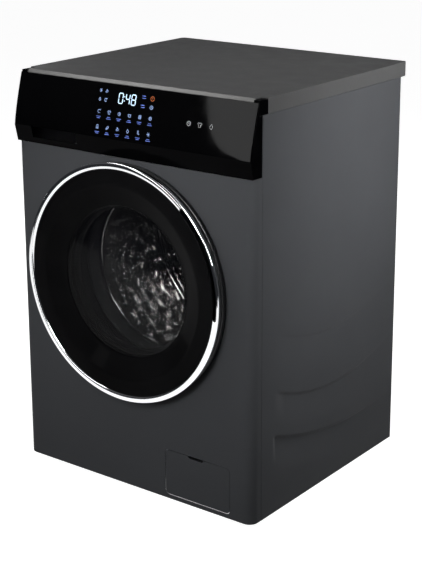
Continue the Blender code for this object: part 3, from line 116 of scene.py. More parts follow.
# ---------------------------------------------------------------- mesh helpers
def add(name, builder, material, smooth=35.0, turn_out=True):
    """Makes a shaded object of a bmesh. An open sheet keeps the way its faces point."""
    if turn_out:
        bmesh.ops.recalc_face_normals(builder, faces=builder.faces)
    mesh = bpy.data.meshes.new(name)
    builder.to_mesh(mesh)
    builder.free()
    obj = bpy.data.objects.new(name, mesh)
    bpy.context.scene.collection.objects.link(obj)
    if material is not None:
        mesh.materials.append(material)
    return shade(obj, smooth)


def shade(obj, smooth):
    obj.data.shade_smooth()
    obj.data.set_sharp_from_angle(angle=math.radians(smooth))
    return obj


def flat_point(axis, pair, along):
    first, second = pair
    if axis == "X":
        return (along, first, second)
    if axis == "Y":
        return (first, along, second)
    return (first, second, along)


def round_spots(radius, angles, centre=(0.0, 0.0)):
    """Points on a circle, at the angles in degrees."""
    return [(centre[0] + radius * math.cos(math.radians(a)), centre[1] + radius * math.sin(math.radians(a)))
            for a in angles]


def arc(centre, radius, start, end, steps):
    """Points on a circle from one angle to another, in degrees."""
    return round_spots(radius, [start + (end - start) * step / steps for step in range(steps + 1)], centre)


def rounded(outline, radius, steps=3):
    """The closed outline with its corners rounded. A point on the turning axis stays."""
    points = []
    count = len(outline)
    for index, spot in enumerate(outline):
        here = Vector(spot)
        before, after = Vector(outline[index - 1]), Vector(outline[(index + 1) % count])
        back, ahead = before - here, after - here
        if here.x <= 0.0 and (before.x <= 0.0 or after.x <= 0.0):
            points.append(here)
            continue
        if min(back.length, ahead.length) < 1e-7 or back.angle(ahead) > math.radians(168):
            points.append(here)
            continue
        reach = min(radius, back.length * 0.45, ahead.length * 0.45)
        start, end = here + back.normalized() * reach, here + ahead.normalized() * reach
        for step in range(steps + 1):
            t = step / steps
            points.append(start * (1 - t) ** 2 + here * (2 * t * (1 - t)) + end * t * t)
    return points


def lathe(name, profile, material, centre=DOOR_CENTRE, segments=144, axis="Y", soften=0.0, smooth=35.0):
    """Turns a closed outline of (radius, place along the axis)."""
    outline = rounded([(max(r, 0.0), a) for r, a in profile], soften) if soften else profile
    builder = bmesh.new()
    rings = []
    for radius, along in outline:
        if radius <= 1e-7:
            rings.append([builder.verts.new(flat_point(axis, (0.0, 0.0), along))])
            continue
        ring = []
        for step in range(segments):
            angle = 2 * math.pi * step / segments
            pair = (radius * math.cos(angle), radius * math.sin(angle))
            ring.append(builder.verts.new(flat_point(axis, pair, along)))
        rings.append(ring)
    for first, second in zip(rings, rings[1:] + rings[:1]):
        if len(first) == 1 and len(second) == 1:
            continue
        for step in range(segments):
            after = (step + 1) % segments
            corners = [first[step % len(first)], first[after % len(first)],
                       second[after % len(second)], second[step % len(second)]]
            builder.faces.new(list(dict.fromkeys(corners)))
    shift = Vector(centre)
    setattr(shift, axis.lower(), 0.0)
    builder.transform(Matrix.Translation(shift))
    return add(name, builder, material, smooth)


def prism(name, outline, axis, start, end, material, bevel=0.0, steps=2):
    """Extrudes a closed outline and rounds the edges of both ends."""
    rows = [[flat_point(axis, pair, along) for pair in outline] for along in (start, end)]
    builder = skin(rows, closed=True)
    builder.verts.ensure_lookup_table()
    count = len(outline)
    caps = [builder.faces.new(corners) for corners in (builder.verts[:count], builder.verts[count:][::-1])]
    bmesh.ops.recalc_face_normals(builder, faces=builder.faces)
    if bevel:
        edges = list({edge for cap in caps for edge in cap.edges})
        bmesh.ops.bevel(builder, geom=edges, offset=bevel, segments=steps, profile=0.5, affect="EDGES")
    return add(name, builder, material)


def rectangle(centre, width, height, radius=0.0, steps=5):
    if not radius:
        (x, y), w, h = centre, width / 2, height / 2
        return [(x - w, y - h), (x + w, y - h), (x + w, y + h), (x - w, y + h)]
    points = []
    for side, up, start in ((1, 1, 0), (-1, 1, 90), (-1, -1, 180), (1, -1, 270)):
        middle = (centre[0] + side * (width / 2 - radius), centre[1] + up * (height / 2 - radius))
        points += arc(middle, radius, start, start + 90, steps)
    return points


def slab(name, low, high, material, bevel, corner, axis="Z"):
    """A block with rounded edges."""
    at = "XYZ".index(axis)
    kept = [i for i in range(3) if i != at]
    centre = [(low[i] + high[i]) / 2 for i in kept]
    width, height = (high[i] - low[i] for i in kept)
    outline = rectangle(centre, width, height, corner, 3)
    return prism(name, outline, axis, low[at], high[at], material, bevel)


def arc_band(inner, outer, from_degrees, to_degrees, steps=48):
    """Outline of part of a ring in the XZ plane round the door's axis."""
    middle = (0.0, DOOR_Z)
    return arc(middle, outer, from_degrees, to_degrees, steps) \
        + arc(middle, inner, to_degrees, from_degrees, steps)


def apply_modifiers(obj):
    graph = bpy.context.evaluated_depsgraph_get()
    mesh = bpy.data.meshes.new_from_object(obj.evaluated_get(graph), depsgraph=graph)
    obj.modifiers.clear()
    old = obj.data
    obj.data = mesh
    bpy.data.meshes.remove(old)


def carve(obj, *tools, smooth=35.0):
    """Cuts the tools out of obj, for good. Without tools it only applies what obj has."""
    for tool in tools:
        modifier = obj.modifiers.new("carve", "BOOLEAN")
        modifier.operation, modifier.solver, modifier.object = "DIFFERENCE", "EXACT", tool
    apply_modifiers(obj)
    for tool in tools:
        bpy.data.objects.remove(tool, do_unlink=True)
    return shade(obj, smooth)


def thicken(obj, thickness, offset=0.0, smooth=35.0):
    """Gives an open skin the thickness of its sheet, for good."""
    solid = obj.modifiers.new("sheet", "SOLIDIFY")
    solid.thickness, solid.offset = thickness, offset
    return carve(obj, smooth=smooth)


def skin(rows, closed=False, flip=False):
    """Quads between rows of points. A closed row ends where it starts."""
    builder = bmesh.new()
    grid = [[builder.verts.new(point) for point in row] for row in rows]
    for lower, upper in zip(grid, grid[1:]):
        for step in range(len(lower) if closed else len(lower) - 1):
            after = (step + 1) % len(lower)
            corners = (lower[step], lower[after], upper[after], upper[step])
            builder.faces.new((lower[after], lower[step], upper[step], upper[after]) if flip else corners)
    return builder


def round_cutter(radius, face, reach, centre=DOOR_CENTRE, segments=64):
    """A round tool that passes through a sheet facing along Y."""
    profile = [(0.0, face - reach), (radius, face - reach), (radius, face + reach), (0.0, face + reach)]
    return lathe("hole", profile, None, centre, segments)


def direction(points, index):
    """Which way a line of points runs at one of them."""
    return (points[min(index + 1, len(points) - 1)] - points[max(index - 1, 0)]).normalized()


def tube(name, points, radius, material, sides):
    """A round bar along points. radius is one number, or one for each point."""
    points = [Vector(point) for point in points]
    radii = [radius] * len(points) if isinstance(radius, float) else radius
    rings = []
    normal = None
    for index, point in enumerate(points):
        forward = direction(points, index)
        normal = forward.orthogonal().normalized() if normal is None else normal
        normal = (normal - forward * normal.dot(forward)).normalized()
        side = forward.cross(normal)
        ring = []
        for step in range(sides):
            angle = 2 * math.pi * step / sides
            offset = normal * math.cos(angle) + side * math.sin(angle)
            ring.append(point + offset * radii[index])
        rings.append(ring)
    builder = skin(rings, closed=True)
    builder.verts.ensure_lookup_table()
    builder.faces.new(builder.verts[:sides])
    builder.faces.new(builder.verts[-sides:])
    return add(name, builder, material, 50.0)


def smooth_path(knots, per_span):
    knots = [Vector(knot) for knot in knots]
    ends = [knots[0] * 2 - knots[1]] + knots + [knots[-1] * 2 - knots[-2]]
    points = []
    for p0, p1, p2, p3 in zip(ends, ends[1:], ends[2:], ends[3:]):
        for step in range(per_span):
            t = step / per_span
            points.append(0.5 * ((2 * p1) + (p2 - p0) * t + (2 * p0 - 5 * p1 + 4 * p2 - p3) * t * t
                                 + (3 * p1 - p0 - 3 * p2 + p3) * t * t * t))
    points.append(knots[-1])
    return points


def merge(name, pieces, smooth=35.0):
    """One object of several, in their places."""
    builder = bmesh.new()
    materials = []
    for piece in pieces:
        for material in piece.data.materials:
            if material not in materials:
                materials.append(material)
    for piece in pieces:
        start = len(builder.faces)
        builder.from_mesh(piece.data)
        builder.faces.ensure_lookup_table()
        slots = [materials.index(m) for m in piece.data.materials]
        for face in builder.faces[start:]:
            face.material_index = slots[face.material_index] if slots else 0
    mesh = bpy.data.meshes.new(name)
    builder.to_mesh(mesh)
    builder.free()
    for material in materials:
        mesh.materials.append(material)
    for piece in pieces:
        bpy.data.objects.remove(piece, do_unlink=True)
    obj = bpy.data.objects.new(name, mesh)
    bpy.context.scene.collection.objects.link(obj)
    return shade(obj, smooth)


def crisp(obj):
    """Keeps the shading of large faces flat where small bevels meet them."""
    weighted = obj.modifiers.new("normals", "WEIGHTED_NORMAL")
    weighted.keep_sharp = True
    apply_modifiers(obj)


def middle_of(node):
    """The centre of a node's box."""
    low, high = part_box(node)
    return (low + high) / 2


def fit(obj, body, slot, *nodes):
    """obj rides on a body and stands for the nodes. slot is not used."""
    crisp(obj)
    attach(obj, body)
    if nodes:
        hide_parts(*nodes)
    return obj


def flex(obj, node):
    """Bakes obj's placement into its mesh and hides the node it stands for."""
    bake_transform(obj)
    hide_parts(node)


# ---------------------------------------------------------------- materials
def graph_of(name):
    material = bpy.data.materials.new(name)
    material.use_nodes = True
    tree = material.node_tree
    return material, tree, tree.nodes["Principled BSDF"]


def noise_of(tree, scale, detail, stretch=(1.0, 1.0, 1.0)):
    """A noise texture on the object's own coordinates."""
    coordinates = tree.nodes.new("ShaderNodeTexCoord")
    mapping = tree.nodes.new("ShaderNodeMapping")
    mapping.inputs["Scale"].default_value = stretch
    texture = tree.nodes.new("ShaderNodeTexNoise")
    texture.inputs["Scale"].default_value = scale
    texture.inputs["Detail"].default_value = detail
    tree.links.new(coordinates.outputs["Object"], mapping.inputs["Vector"])
    tree.links.new(mapping.outputs["Vector"], texture.inputs["Vector"])
    return texture.outputs["Fac"]


def spread(tree, source, low, high, from_low=0.3, from_high=0.7):
    node = tree.nodes.new("ShaderNodeMapRange")
    for key, value in (("From Min", from_low), ("From Max", from_high), ("To Min", low), ("To Max", high)):
        node.inputs[key].default_value = value
    tree.links.new(source, node.inputs["Value"])
    return node.outputs["Result"]


def two_colours(tree, source, first, second, low=0.35, high=0.65):
    ramp = tree.nodes.new("ShaderNodeValToRGB")
    ramp.color_ramp.elements[0].position, ramp.color_ramp.elements[1].position = low, high
    ramp.color_ramp.elements[0].color = (*first, 1.0)
    ramp.color_ramp.elements[1].color = (*second, 1.0)
    tree.links.new(source, ramp.inputs["Fac"])
    return ramp.outputs["Color"]


def bumped(tree, shader, source, distance):
    node = tree.nodes.new("ShaderNodeBump")
    node.inputs["Strength"].default_value = 1.0
    node.inputs["Distance"].default_value = distance
    tree.links.new(source, node.inputs["Height"])
    tree.links.new(node.outputs["Normal"], shader.inputs["Normal"])


def surface(name, colour, rough, metallic, vary, grain, depth, stretch=(1, 1, 1), cloud=7.0,
            rough_vary=0.12, **sockets):
    """A finish with broad colour variation, uneven gloss and a fine surface grain."""
    material, tree, shader = graph_of(name)
    broad = noise_of(tree, cloud, 4.0, stretch)
    fine = noise_of(tree, grain, 2.0, stretch)
    dark = tuple(c * (1 - vary) for c in colour)
    light = tuple(min(c * (1 + vary), 1.0) for c in colour)
    tree.links.new(two_colours(tree, broad, dark, light), shader.inputs["Base Color"])
    smudge = noise_of(tree, cloud * 5, 5.0, stretch)
    tree.links.new(spread(tree, smudge, rough * (1 - rough_vary), rough * (1 + rough_vary)),
                   shader.inputs["Roughness"])
    bumped(tree, shader, fine, depth)
    shader.inputs["Metallic"].default_value = metallic
    for key, value in sockets.items():
        shader.inputs[key.replace("_", " ")].default_value = value
    return material


def see_through(name, colour, alpha, rough, **sockets):
    """A thin clear or smoked layer, with faint wipe marks in its gloss."""
    material, tree, shader = graph_of(name)
    smudge = noise_of(tree, 24.0, 5.0)
    tree.links.new(spread(tree, smudge, rough * 0.6, rough * 1.8), shader.inputs["Roughness"])
    shader.inputs["Base Color"].default_value = (*colour, 1.0)
    shader.inputs["Alpha"].default_value = alpha
    for key, value in sockets.items():
        shader.inputs[key.replace("_", " ")].default_value = value
    return material


def glowing(name, colour, strength):
    material, _, shader = graph_of(name)
    shader.inputs["Base Color"].default_value = (*(c * 0.5 for c in colour), 1.0)
    shader.inputs["Emission Color"].default_value = (*colour, 1.0)
    shader.inputs["Emission Strength"].default_value = strength
    shader.inputs["Roughness"].default_value = 0.3
    return material


PAINT = surface("graphite_powder_coat", (0.058, 0.0602, 0.0645), 0.50, 0.0, 0.04, 1500.0, 0.00003,
                cloud=3.0, rough_vary=0.08, Specular_IOR_Level=0.03)
TOP_PAINT = surface("graphite_laminate", (0.056, 0.0562, 0.0565), 0.48, 0.0, 0.05, 1100.0, 0.00006, cloud=4.0,
                    Specular_IOR_Level=0.12)
# Painted highlight: a lighter grey for the worktop's front chamfer, standing in for the light that edge
# catches.
EDGE_HIGHLIGHT_PAINT = surface("painted_highlight_edge", (0.070, 0.069, 0.067), 0.32, 0.0, 0.05, 900.0, 0.00003, cloud=6.0)
GLOSS = surface("piano_black", (0.0010, 0.0010, 0.0012), 0.045, 0.0, 0.2, 90.0, 0.000002, cloud=9.0,
                rough_vary=0.35, Specular_IOR_Level=0.14)
GLOSS_FRAME = surface("gloss_black_moulding", (0.0012, 0.0012, 0.0014), 0.10, 0.0, 0.2, 400.0, 0.000006,
                      cloud=14.0, rough_vary=0.2, Specular_IOR_Level=0.012)
BLACK = surface("black_moulding", (0.010, 0.010, 0.011), 0.36, 0.0, 0.15, 1800.0, 0.00005, cloud=20.0)
CHROME = surface("mirror_chrome", (0.86, 0.87, 0.88), 0.055, 1.0, 0.02, 300.0, 0.000002, cloud=18.0,
                 rough_vary=0.4)
SMOKED = see_through("smoked_cover", (0.002, 0.002, 0.0025), 0.38, 0.020, Specular_IOR_Level=0.07)
RIM_GLOSS = surface("smoked_rim", (0.0048, 0.0048, 0.0051), 0.035, 0.0, 0.2, 60.0, 0.000001, cloud=9.0,
                    rough_vary=0.35, Specular_IOR_Level=0.008)
CLEAR = see_through("clear_bowl_glass", (0.010, 0.012, 0.012), 0.05, 0.012, Specular_IOR_Level=0.16)
STEEL = surface("polished_stainless", (0.66, 0.66, 0.65), 0.10, 1.0, 0.06, 900.0, 0.00002,
                stretch=(1, 8, 1), cloud=12.0, rough_vary=0.3)
ZINC = surface("zinc_plated_steel", (0.52, 0.53, 0.54), 0.36, 1.0, 0.22, 160.0, 0.00003, cloud=60.0)
GREY_RUBBER = surface("grey_rubber", (0.010, 0.0105, 0.0115), 0.55, 0.0, 0.12, 1200.0, 0.00006, cloud=15.0)
BLACK_RUBBER = surface("black_rubber", (0.012, 0.012, 0.012), 0.66, 0.0, 0.2, 900.0, 0.0001, cloud=25.0)
TUB_PLASTIC = surface("mineral_filled_plastic", (0.085, 0.088, 0.090), 0.50, 0.0, 0.08, 600.0, 0.00008)
WHITE = surface("white_moulding", (0.66, 0.67, 0.66), 0.34, 0.0, 0.03, 900.0, 0.00003)
BLUE = surface("blue_moulding", (0.03, 0.12, 0.35), 0.34, 0.0, 0.08, 900.0, 0.00003)
ALUMINIUM = surface("cast_aluminium", (0.56, 0.57, 0.58), 0.44, 1.0, 0.14, 420.0, 0.00016, cloud=30.0)
CONCRETE = surface("cast_concrete", (0.30, 0.29, 0.275), 0.90, 0.0, 0.22, 260.0, 0.0005, cloud=34.0)
BOARD = surface("solder_mask_board", (0.02, 0.14, 0.07), 0.35, 0.0, 0.25, 500.0, 0.00005, cloud=80.0)
DARK_STEEL = surface("oiled_spring_steel", (0.20, 0.20, 0.21), 0.34, 1.0, 0.2, 700.0, 0.00004, cloud=50.0)
LIT = glowing("lit_symbols", (0.42, 0.58, 1.0), 0.42)
LIT_DIGITS = glowing("lit_digits", (0.60, 0.80, 1.0), 0.95)
LIT_BLUE = glowing("lit_words", (0.20, 0.30, 0.95), 0.40)
LIT_ORANGE = glowing("lit_ring", (0.8, 0.20, 0.05), 0.18)
PRINT = surface("printed_marks", (0.36, 0.37, 0.38), 0.5, 0.0, 0.05, 900.0, 0.00001)

# The CAD nodes that stay as they are; the others are replaced below.
NODE_FINISH = {
    ZINC: "base_tray top_brace hinge_bracket hinge_leaf latch_hook",
    BLACK: "door_lock damper_cylinder_left damper_cylinder_right",
    STEEL: "heater",
    BLACK_RUBBER: "drive_belt shaft_seal",
    TUB_PLASTIC: "tub_front tub_rear drain_pump dispenser_housing",
    ALUMINIUM: "drum_spider drum_pulley motor",
    CONCRETE: "counterweight_upper counterweight_lower",
    BOARD: "display_board",
    DARK_STEEL: "damper_rod_left damper_rod_right bearing_front bearing_rear motor_pulley",
}
for finish, names in NODE_FINISH.items():
    for node_name in names.split():
        NODES[node_name].data.materials.clear()
        NODES[node_name].data.materials.append(finish)


# ---------------------------------------------------------------- camera, light and floor
def build_stage():
    camera = bpy.data.cameras.new("camera")
    camera.sensor_width = 36.0
    camera.lens = 91.4
    camera.shift_y = -0.1243
    eye = bpy.data.objects.new("camera", camera)
    eye.location = (1.7576, -2.3106, 1.3307)
    azimuth, elevation, roll = math.radians(37.18), math.radians(15.2), math.radians(-0.25)
    turn = Matrix.Rotation(azimuth, 3, "Z") @ Matrix.Rotation(math.pi / 2 - elevation, 3, "X")
    eye.rotation_euler = (turn @ Matrix.Rotation(roll, 3, "Z")).to_euler()
    bpy.context.scene.collection.objects.link(eye)
    bpy.context.scene.camera = eye

    bpy.context.scene.view_settings.view_transform = "Standard"
    world = bpy.data.worlds.new("studio")
    world.use_nodes = True
    tree = world.node_tree
    background = tree.nodes["Background"]
    background.inputs["Strength"].default_value = 1.0
    coordinates = tree.nodes.new("ShaderNodeTexCoord")
    parts = tree.nodes.new("ShaderNodeSeparateXYZ")
    tree.links.new(coordinates.outputs["Generated"], parts.inputs["Vector"])
    height = spread(tree, parts.outputs["Z"], 0.0, 1.0, -0.2, 1.0)
    tint = two_colours(tree, height, (0.020, 0.021, 0.024), (0.15, 0.15, 0.154), 0.20, 0.9)
    tree.links.new(tint, background.inputs["Color"])
    bpy.context.scene.world = world

    lights = (("overhead", (0.6, 0.2, 2.5), (0.1, 0.1, 0.3), 1.4, 1.2, 13.0, 180, 0),
              ("edge_light", (-1.15, -0.70, 2.30), (0.0, -0.24, 0.84), 1.8, 0.5, 14.0, 180, 0),
              ("front_right", (0.55, -1.90, 1.35), (0.12, -0.26, 0.74), 0.7, 0.6, 3.6, 58, 0),
              ("right_high", (1.45, 0.20, 1.15), (0.30, 0.12, 0.74), 0.5, 0.6, 2.1, 46, 0),
              ("front_band", (-0.81, -1.85, 0.95), (0.26, -0.26, 0.78), 0.20, 2.2, 4.0, 180, 15),
              ("rear_fill", (0.9, 2.6, 1.1), (0.0, 0.27, 0.40), 1.2, 1.2, 30.0, 180, 0),
              ("left_fill", (-2.2, 0.9, 0.9), (-0.3, 0.0, 0.4), 1.0, 1.0, 16.0, 180, 0))
    for name, place, aim, width, height, power, spread_angle, tilt in lights:
        lamp = bpy.data.lights.new(name, "AREA")
        lamp.shape, lamp.spread = "RECTANGLE", math.radians(spread_angle)
        lamp.size, lamp.size_y, lamp.energy = width, height, power
        obj = bpy.data.objects.new(name, lamp)
        obj.location = place
        facing = (Vector(aim) - Vector(place)).to_track_quat("-Z", "Y").to_matrix()
        obj.rotation_euler = (facing @ Matrix.Rotation(math.radians(tilt), 3, "Z")).to_euler()
        bpy.context.scene.collection.objects.link(obj)
    lamp = bpy.data.lights.new("drum_spot", "SPOT")
    lamp.energy, lamp.spot_size, lamp.spot_blend = 250.0, math.radians(9.0), 0.4
    lamp.shadow_soft_size = 0.03
    spot = bpy.data.objects.new("drum_spot", lamp)
    spot.location = (-0.55, -1.80, 0.95)
    way = Vector((0.02, -0.26, DOOR_Z + 0.005)) - spot.location
    spot.rotation_euler = way.to_track_quat("-Z", "Y").to_euler()
    bpy.context.scene.collection.objects.link(spot)

    # The near floor is what the glossy parts reflect; the far floor only closes the view.
    near, far, paint = 1.62, 40.0, floor_paint()
    bands = (("floor_near", -near, near), ("floor_far", -far, -near), ("floor_back", near, far))
    for name, low_y, high_y in bands:
        reach = near * 1.4 if name == "floor_near" else far
        floor_piece(name, (-reach, low_y), (reach, high_y), paint, name == "floor_near")
    for side, name in ((-1, "floor_left"), (1, "floor_right")):
        x_low, x_high = sorted((side * near * 1.4, side * far))
        floor_piece(name, (x_low, -near), (x_high, near), paint, False)
    wall = [(far - 1.0, -0.01), (far - 1.0, 30.0), (far - 0.9, 30.0), (far - 0.9, -0.01)]
    backdrop = lathe("backdrop", wall, paint, (0.0, 0.0, 0.0), 96, "Z")
    backdrop.visible_diffuse = backdrop.visible_glossy = False


def floor_paint():
    paint, tree, shader = graph_of("pale_floor")
    tree.links.new(two_colours(tree, noise_of(tree, 0.6, 3.0), (0.42, 0.42, 0.42), (0.44, 0.44, 0.44)),
                   shader.inputs["Base Color"])
    shader.inputs["Roughness"].default_value = 0.9
    shader.inputs["Specular IOR Level"].default_value = 0.1
    shader.inputs["Emission Color"].default_value = (1.0, 1.0, 1.0, 1.0)
    shader.inputs["Emission Strength"].default_value = 0.92
    return paint


def floor_piece(name, low, high, paint, reflected):
    """A flat rectangle of floor. It lights nothing, so that only the lamps shade the machine."""
    rows = [[(x, y, 0.0) for x in (low[0], high[0])] for y in (low[1], high[1])]
    floor = add(name, skin(rows), paint)
    floor.visible_diffuse = False
    floor.visible_glossy = reflected


# ---------------------------------------------------------------- cabinet sheets
CORNER_RADIUS = 0.020
FLAP_LOW, FLAP_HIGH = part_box("filter_flap")
FLAP_X, _, FLAP_Z = middle_of("filter_flap")
FLAP_WIDTH, FLAP_HEIGHT = FLAP_HIGH.x - FLAP_LOW.x, FLAP_HIGH.z - FLAP_LOW.z
LATCH_X = 0.205
OPENING_RADIUS = 0.178


def front_panel():
    def plan(inset):
        radius = CORNER_RADIUS - inset
        points = [(-HALF + inset, PANEL_HIGH.y)]
        for side, start in ((-1, 180), (1, 270)):
            middle = (side * (HALF - CORNER_RADIUS), FRONT + CORNER_RADIUS)
            points += arc(middle, radius, start, start + 90, 14)
        points.append((HALF - inset, PANEL_HIGH.y))
        return points

    wrap = plan(0.0) + plan(SHEET)[::-1]
    panel = prism("front_sheet", wrap, "Z", PANEL_LOW.z, PANEL_HIGH.z, PAINT, 0.0003, 1)
    reach = 0.02
    opening = round_cutter(OPENING_RADIUS, FRONT, reach, segments=120)
    flap = rectangle((FLAP_X, FLAP_Z), FLAP_WIDTH + 0.002, FLAP_HEIGHT + 0.002, 0.010)
    slot = rectangle((LATCH_X + 0.003, DOOR_Z), 0.022, 0.016, 0.003)
    carve(panel, opening, *[prism("hole", outline, "Y", FRONT - reach, FRONT + reach, None)
                            for outline in (flap, slot)])
    fit(panel, "cabinet", "graphite_paint", "front_panel")


# Each scoop: its lowest height, the depth-wise place of that, its bend, how deep it is pressed, and how
# gently it starts.
SCOOPS = ((0.118, 0.12, 0.62, 0.0056, 0.008), (0.219, 0.04, 1.00, 0.0040, 0.040),
          (0.342, 0.03, 1.00, 0.0017, 0.090))
SCOOP_ENDS = (-0.186, 0.240)
SCOOP_HEIGHT = 0.070
SCOOPS_TOP = 0.46


def smoothstep(low, high, value):
    t = min(max((value - low) / (high - low), 0.0), 1.0)
    return t * t * (3 - 2 * t)


def scoop_depth(y, z):
    """How far the side sheet is pressed in: each scoop steps in under a curved line and runs out below."""
    depth = 0.0
    for bottom, middle, bend, press, start in SCOOPS:
        below = bottom + bend * (y - middle) ** 2 - z
        edge = smoothstep(-0.0020, 0.0040, below)
        run_out = 1.0 - smoothstep(0.004, SCOOP_HEIGHT, below)
        ends = smoothstep(SCOOP_ENDS[0], SCOOP_ENDS[0] + start, y)
        ends *= 1.0 - smoothstep(0.02, SCOOP_ENDS[1], y) * 0.92
        depth = max(depth, press * edge * run_out * ends)
    return depth


def side_sheet(side, node):
    low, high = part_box(node)
    flange, bend = high.x - low.x, 0.0022
    columns = 104
    path = [(flange, low.y), (bend, low.y)] + arc((bend, low.y + bend), bend, -90, -180, 4)[1:]
    path += [(0.0, low.y + bend + (high.y - low.y - 2 * bend) * step / columns) for step in range(1, columns)]
    path += arc((bend, high.y - bend), bend, 180, 90, 4) + [(flange, high.y)]
    fine_rows, plain_rows = 190, 8
    heights = [low.z]
    heights += [low.z + (SCOOPS_TOP - low.z) * (step + 1) / fine_rows for step in range(fine_rows)]
    heights += [SCOOPS_TOP + (high.z - SCOOPS_TOP) * (step + 1) / plain_rows for step in range(plain_rows)]
    rows = [[(side * (HALF - inward - (scoop_depth(y, z) if inward == 0.0 else 0.0)), y, z)
             for inward, y in path] for z in heights]
    name = f"side_sheet_{'right' if side > 0 else 'left'}"
    obj = add(name, skin(rows, flip=side < 0), PAINT, turn_out=False)
    fit(thicken(obj, SHEET, -1.0, 40.0), "cabinet", "graphite_paint", node)


def worktop():
    low, high = TOP_LOW, TOP_HIGH
    hook = CONSOLE_HIGH.x - HOOK_WIDTH - GAP
    notch, corner = WORKTOP_NOTCH_Y, 0.010
    outline = [(-hook, low.y), (hook, low.y), (hook, notch), (HALF, notch)]
    for side, start in ((1, 0), (-1, 90)):
        outline += arc((side * (HALF - corner), high.y - corner), corner, start, start + 90, 6)
    outline += [(-HALF, notch), (-hook, notch)]
    board = prism("worktop", outline, "Z", low.z, high.z, TOP_PAINT)
    wall = 0.012
    hollow = slab("hollow", (-HALF + wall, notch + wall, low.z - 0.01),
                  (HALF - wall, high.y - 0.036, high.z - 0.014), None, 0.0, 0.003)
    drop = high.z - GLASS_TOP
    wedge = prism("wedge", [(low.y - 0.002, GLASS_TOP - 0.002), (low.y - 0.002, high.z + 0.002),
                            (low.y + drop + 0.002, high.z + 0.002)], "X", -HALF, HALF, None)
    carve(board, hollow, wedge)
    # Painted highlight: the front chamfer faces get the lighter grey, which stands in for the light catching
    # that edge.
    board.data.materials.append(EDGE_HIGHLIGHT_PAINT)
    for polygon in board.data.polygons:
        if polygon.normal.y < -0.6 and polygon.normal.z > 0.6:
            polygon.material_index = 1
    edges = board.modifiers.new("edges", "BEVEL")
    edges.width, edges.segments, edges.limit_method, edges.angle_limit = 0.0016, 3, "ANGLE", math.radians(40)
    carve(board, smooth=30.0)
    fit(board, "cabinet", "graphite_worktop", "top_plate")


INLET = middle_of("inlet_valve")
OUTLET = Vector((HALF - 0.050, 0.0, TOP_LOW.z - 0.080))
GLAND = middle_of("mains_gland")
INLET.z = TOP_LOW.z - 0.050
REAR_LOW, REAR_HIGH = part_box("rear_panel")
SERVICE_HOLE_RADIUS = 0.171


def rear_sheet():
    low, high = REAR_LOW, REAR_HIGH
    columns, rows = 150, 210
    across = [low.x + (high.x - low.x) * step / columns for step in range(columns + 1)]
    heights = [low.z + (high.z - low.z) * step / rows for step in range(rows + 1)]
    points = [[(x, high.y - rib_depth(x, z), z) for x in across] for z in heights]
    sheet = add("rear_sheet", skin(points, flip=True), PAINT, turn_out=False)
    thicken(sheet, SHEET, -1.0)
    holes = ((DOOR_CENTRE, SERVICE_HOLE_RADIUS), (INLET, 0.0137), (OUTLET, 0.0112), (GLAND, 0.0092))
    carve(sheet, *[round_cutter(radius, high.y, 0.03, centre) for centre, radius in holes])
    fit(sheet, "cabinet", "graphite_paint", "rear_panel")

    cover_low, cover_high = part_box("rear_cover")
    face, proud = cover_low.y, cover_high.y
    rim = (cover_high.x - cover_low.x) / 2
    profile = [(rim, face), (rim, face + SHEET), (rim - 0.020, face + SHEET), (rim - 0.028, proud),
               (0.115, proud), (0.108, proud - 0.003), (0.060, proud - 0.003), (0.053, proud), (0.0, proud),
               (0.0, proud - SHEET), (0.054, proud - SHEET), (0.061, proud - 0.003 - SHEET),
               (0.107, proud - 0.003 - SHEET), (0.114, proud - SHEET), (rim - 0.029, proud - SHEET),
               (rim - 0.021, face)]
    cover = lathe("rear_dish", profile, PAINT, soften=0.0022)
    fit(cover, "cabinet", "graphite_paint", "rear_cover")
    spots = round_spots(rim - 0.009, range(30, 390, 60), (0.0, DOOR_Z))
    screws = [screw((x, face + SHEET, z), "Y", 1, 0.0042) for x, z in spots]
    edge_z = [low.z + 0.03, low.z + 0.22, 0.44, 0.62, high.z - 0.02]
    screws += [screw((side * (HALF - 0.0085), REAR, z), "Y", 1, 0.0036) for side in (-1, 1) for z in edge_z]
    fit(merge("rear_screws", screws), "cabinet", "galvanised_steel")


def rib_depth(x, z):
    """Pressed ribs of the rear sheet: a ring round the cover, and bars above, below and beside it."""
    def bar(along, half_length, across):
        reach = 1.0 - smoothstep(half_length, half_length + 0.008, abs(along))
        return 0.0028 * reach * (1.0 - smoothstep(0.003, 0.009, abs(across)))

    depths = [0.0030 * (1.0 - smoothstep(0.003, 0.010, abs(math.hypot(x, z - DOOR_Z) - 0.212)))]
    depths += [bar(x, 0.150, z - place) for place in (0.675, 0.710, 0.745)]
    depths += [bar(x, 0.190, z - place) for place in (0.085, 0.125, 0.165, 0.205)]
    depths += [bar(z - DOOR_Z, 0.170, x - side * 0.245) for side in (-1, 1)]
    edge = min(x - REAR_LOW.x, REAR_HIGH.x - x, z - REAR_LOW.z, REAR_HIGH.z - z)
    return max(depths) * smoothstep(0.010, 0.020, edge)


def screw(place, axis, way, radius):
    """A cross-recessed pan head standing on a face."""
    height = radius * 0.55
    at = "XYZ".index(axis)
    base = place[at]
    centre = list(place)
    profile = [(0.0, base), (radius, base), (radius, base + way * height * 0.45),
               (radius * 0.62, base + way * height), (0.0, base + way * height * 1.05)]
    head = lathe("screw", profile, ZINC, centre, 20, axis, radius * 0.2)
    tools = []
    kept = [i for i in range(3) if i != at]
    for half in ((radius * 0.60, radius * 0.13), (radius * 0.13, radius * 0.60)):
        low, high = list(place), list(place)
        for index, size in zip(kept, half):
            low[index] -= size
            high[index] += size
        low[at], high[at] = sorted((base + way * height * 0.5, base + way * height * 1.4))
        tools.append(slab("cross", low, high, None, 0.0, 0.0, axis))
    return carve(head, *tools)


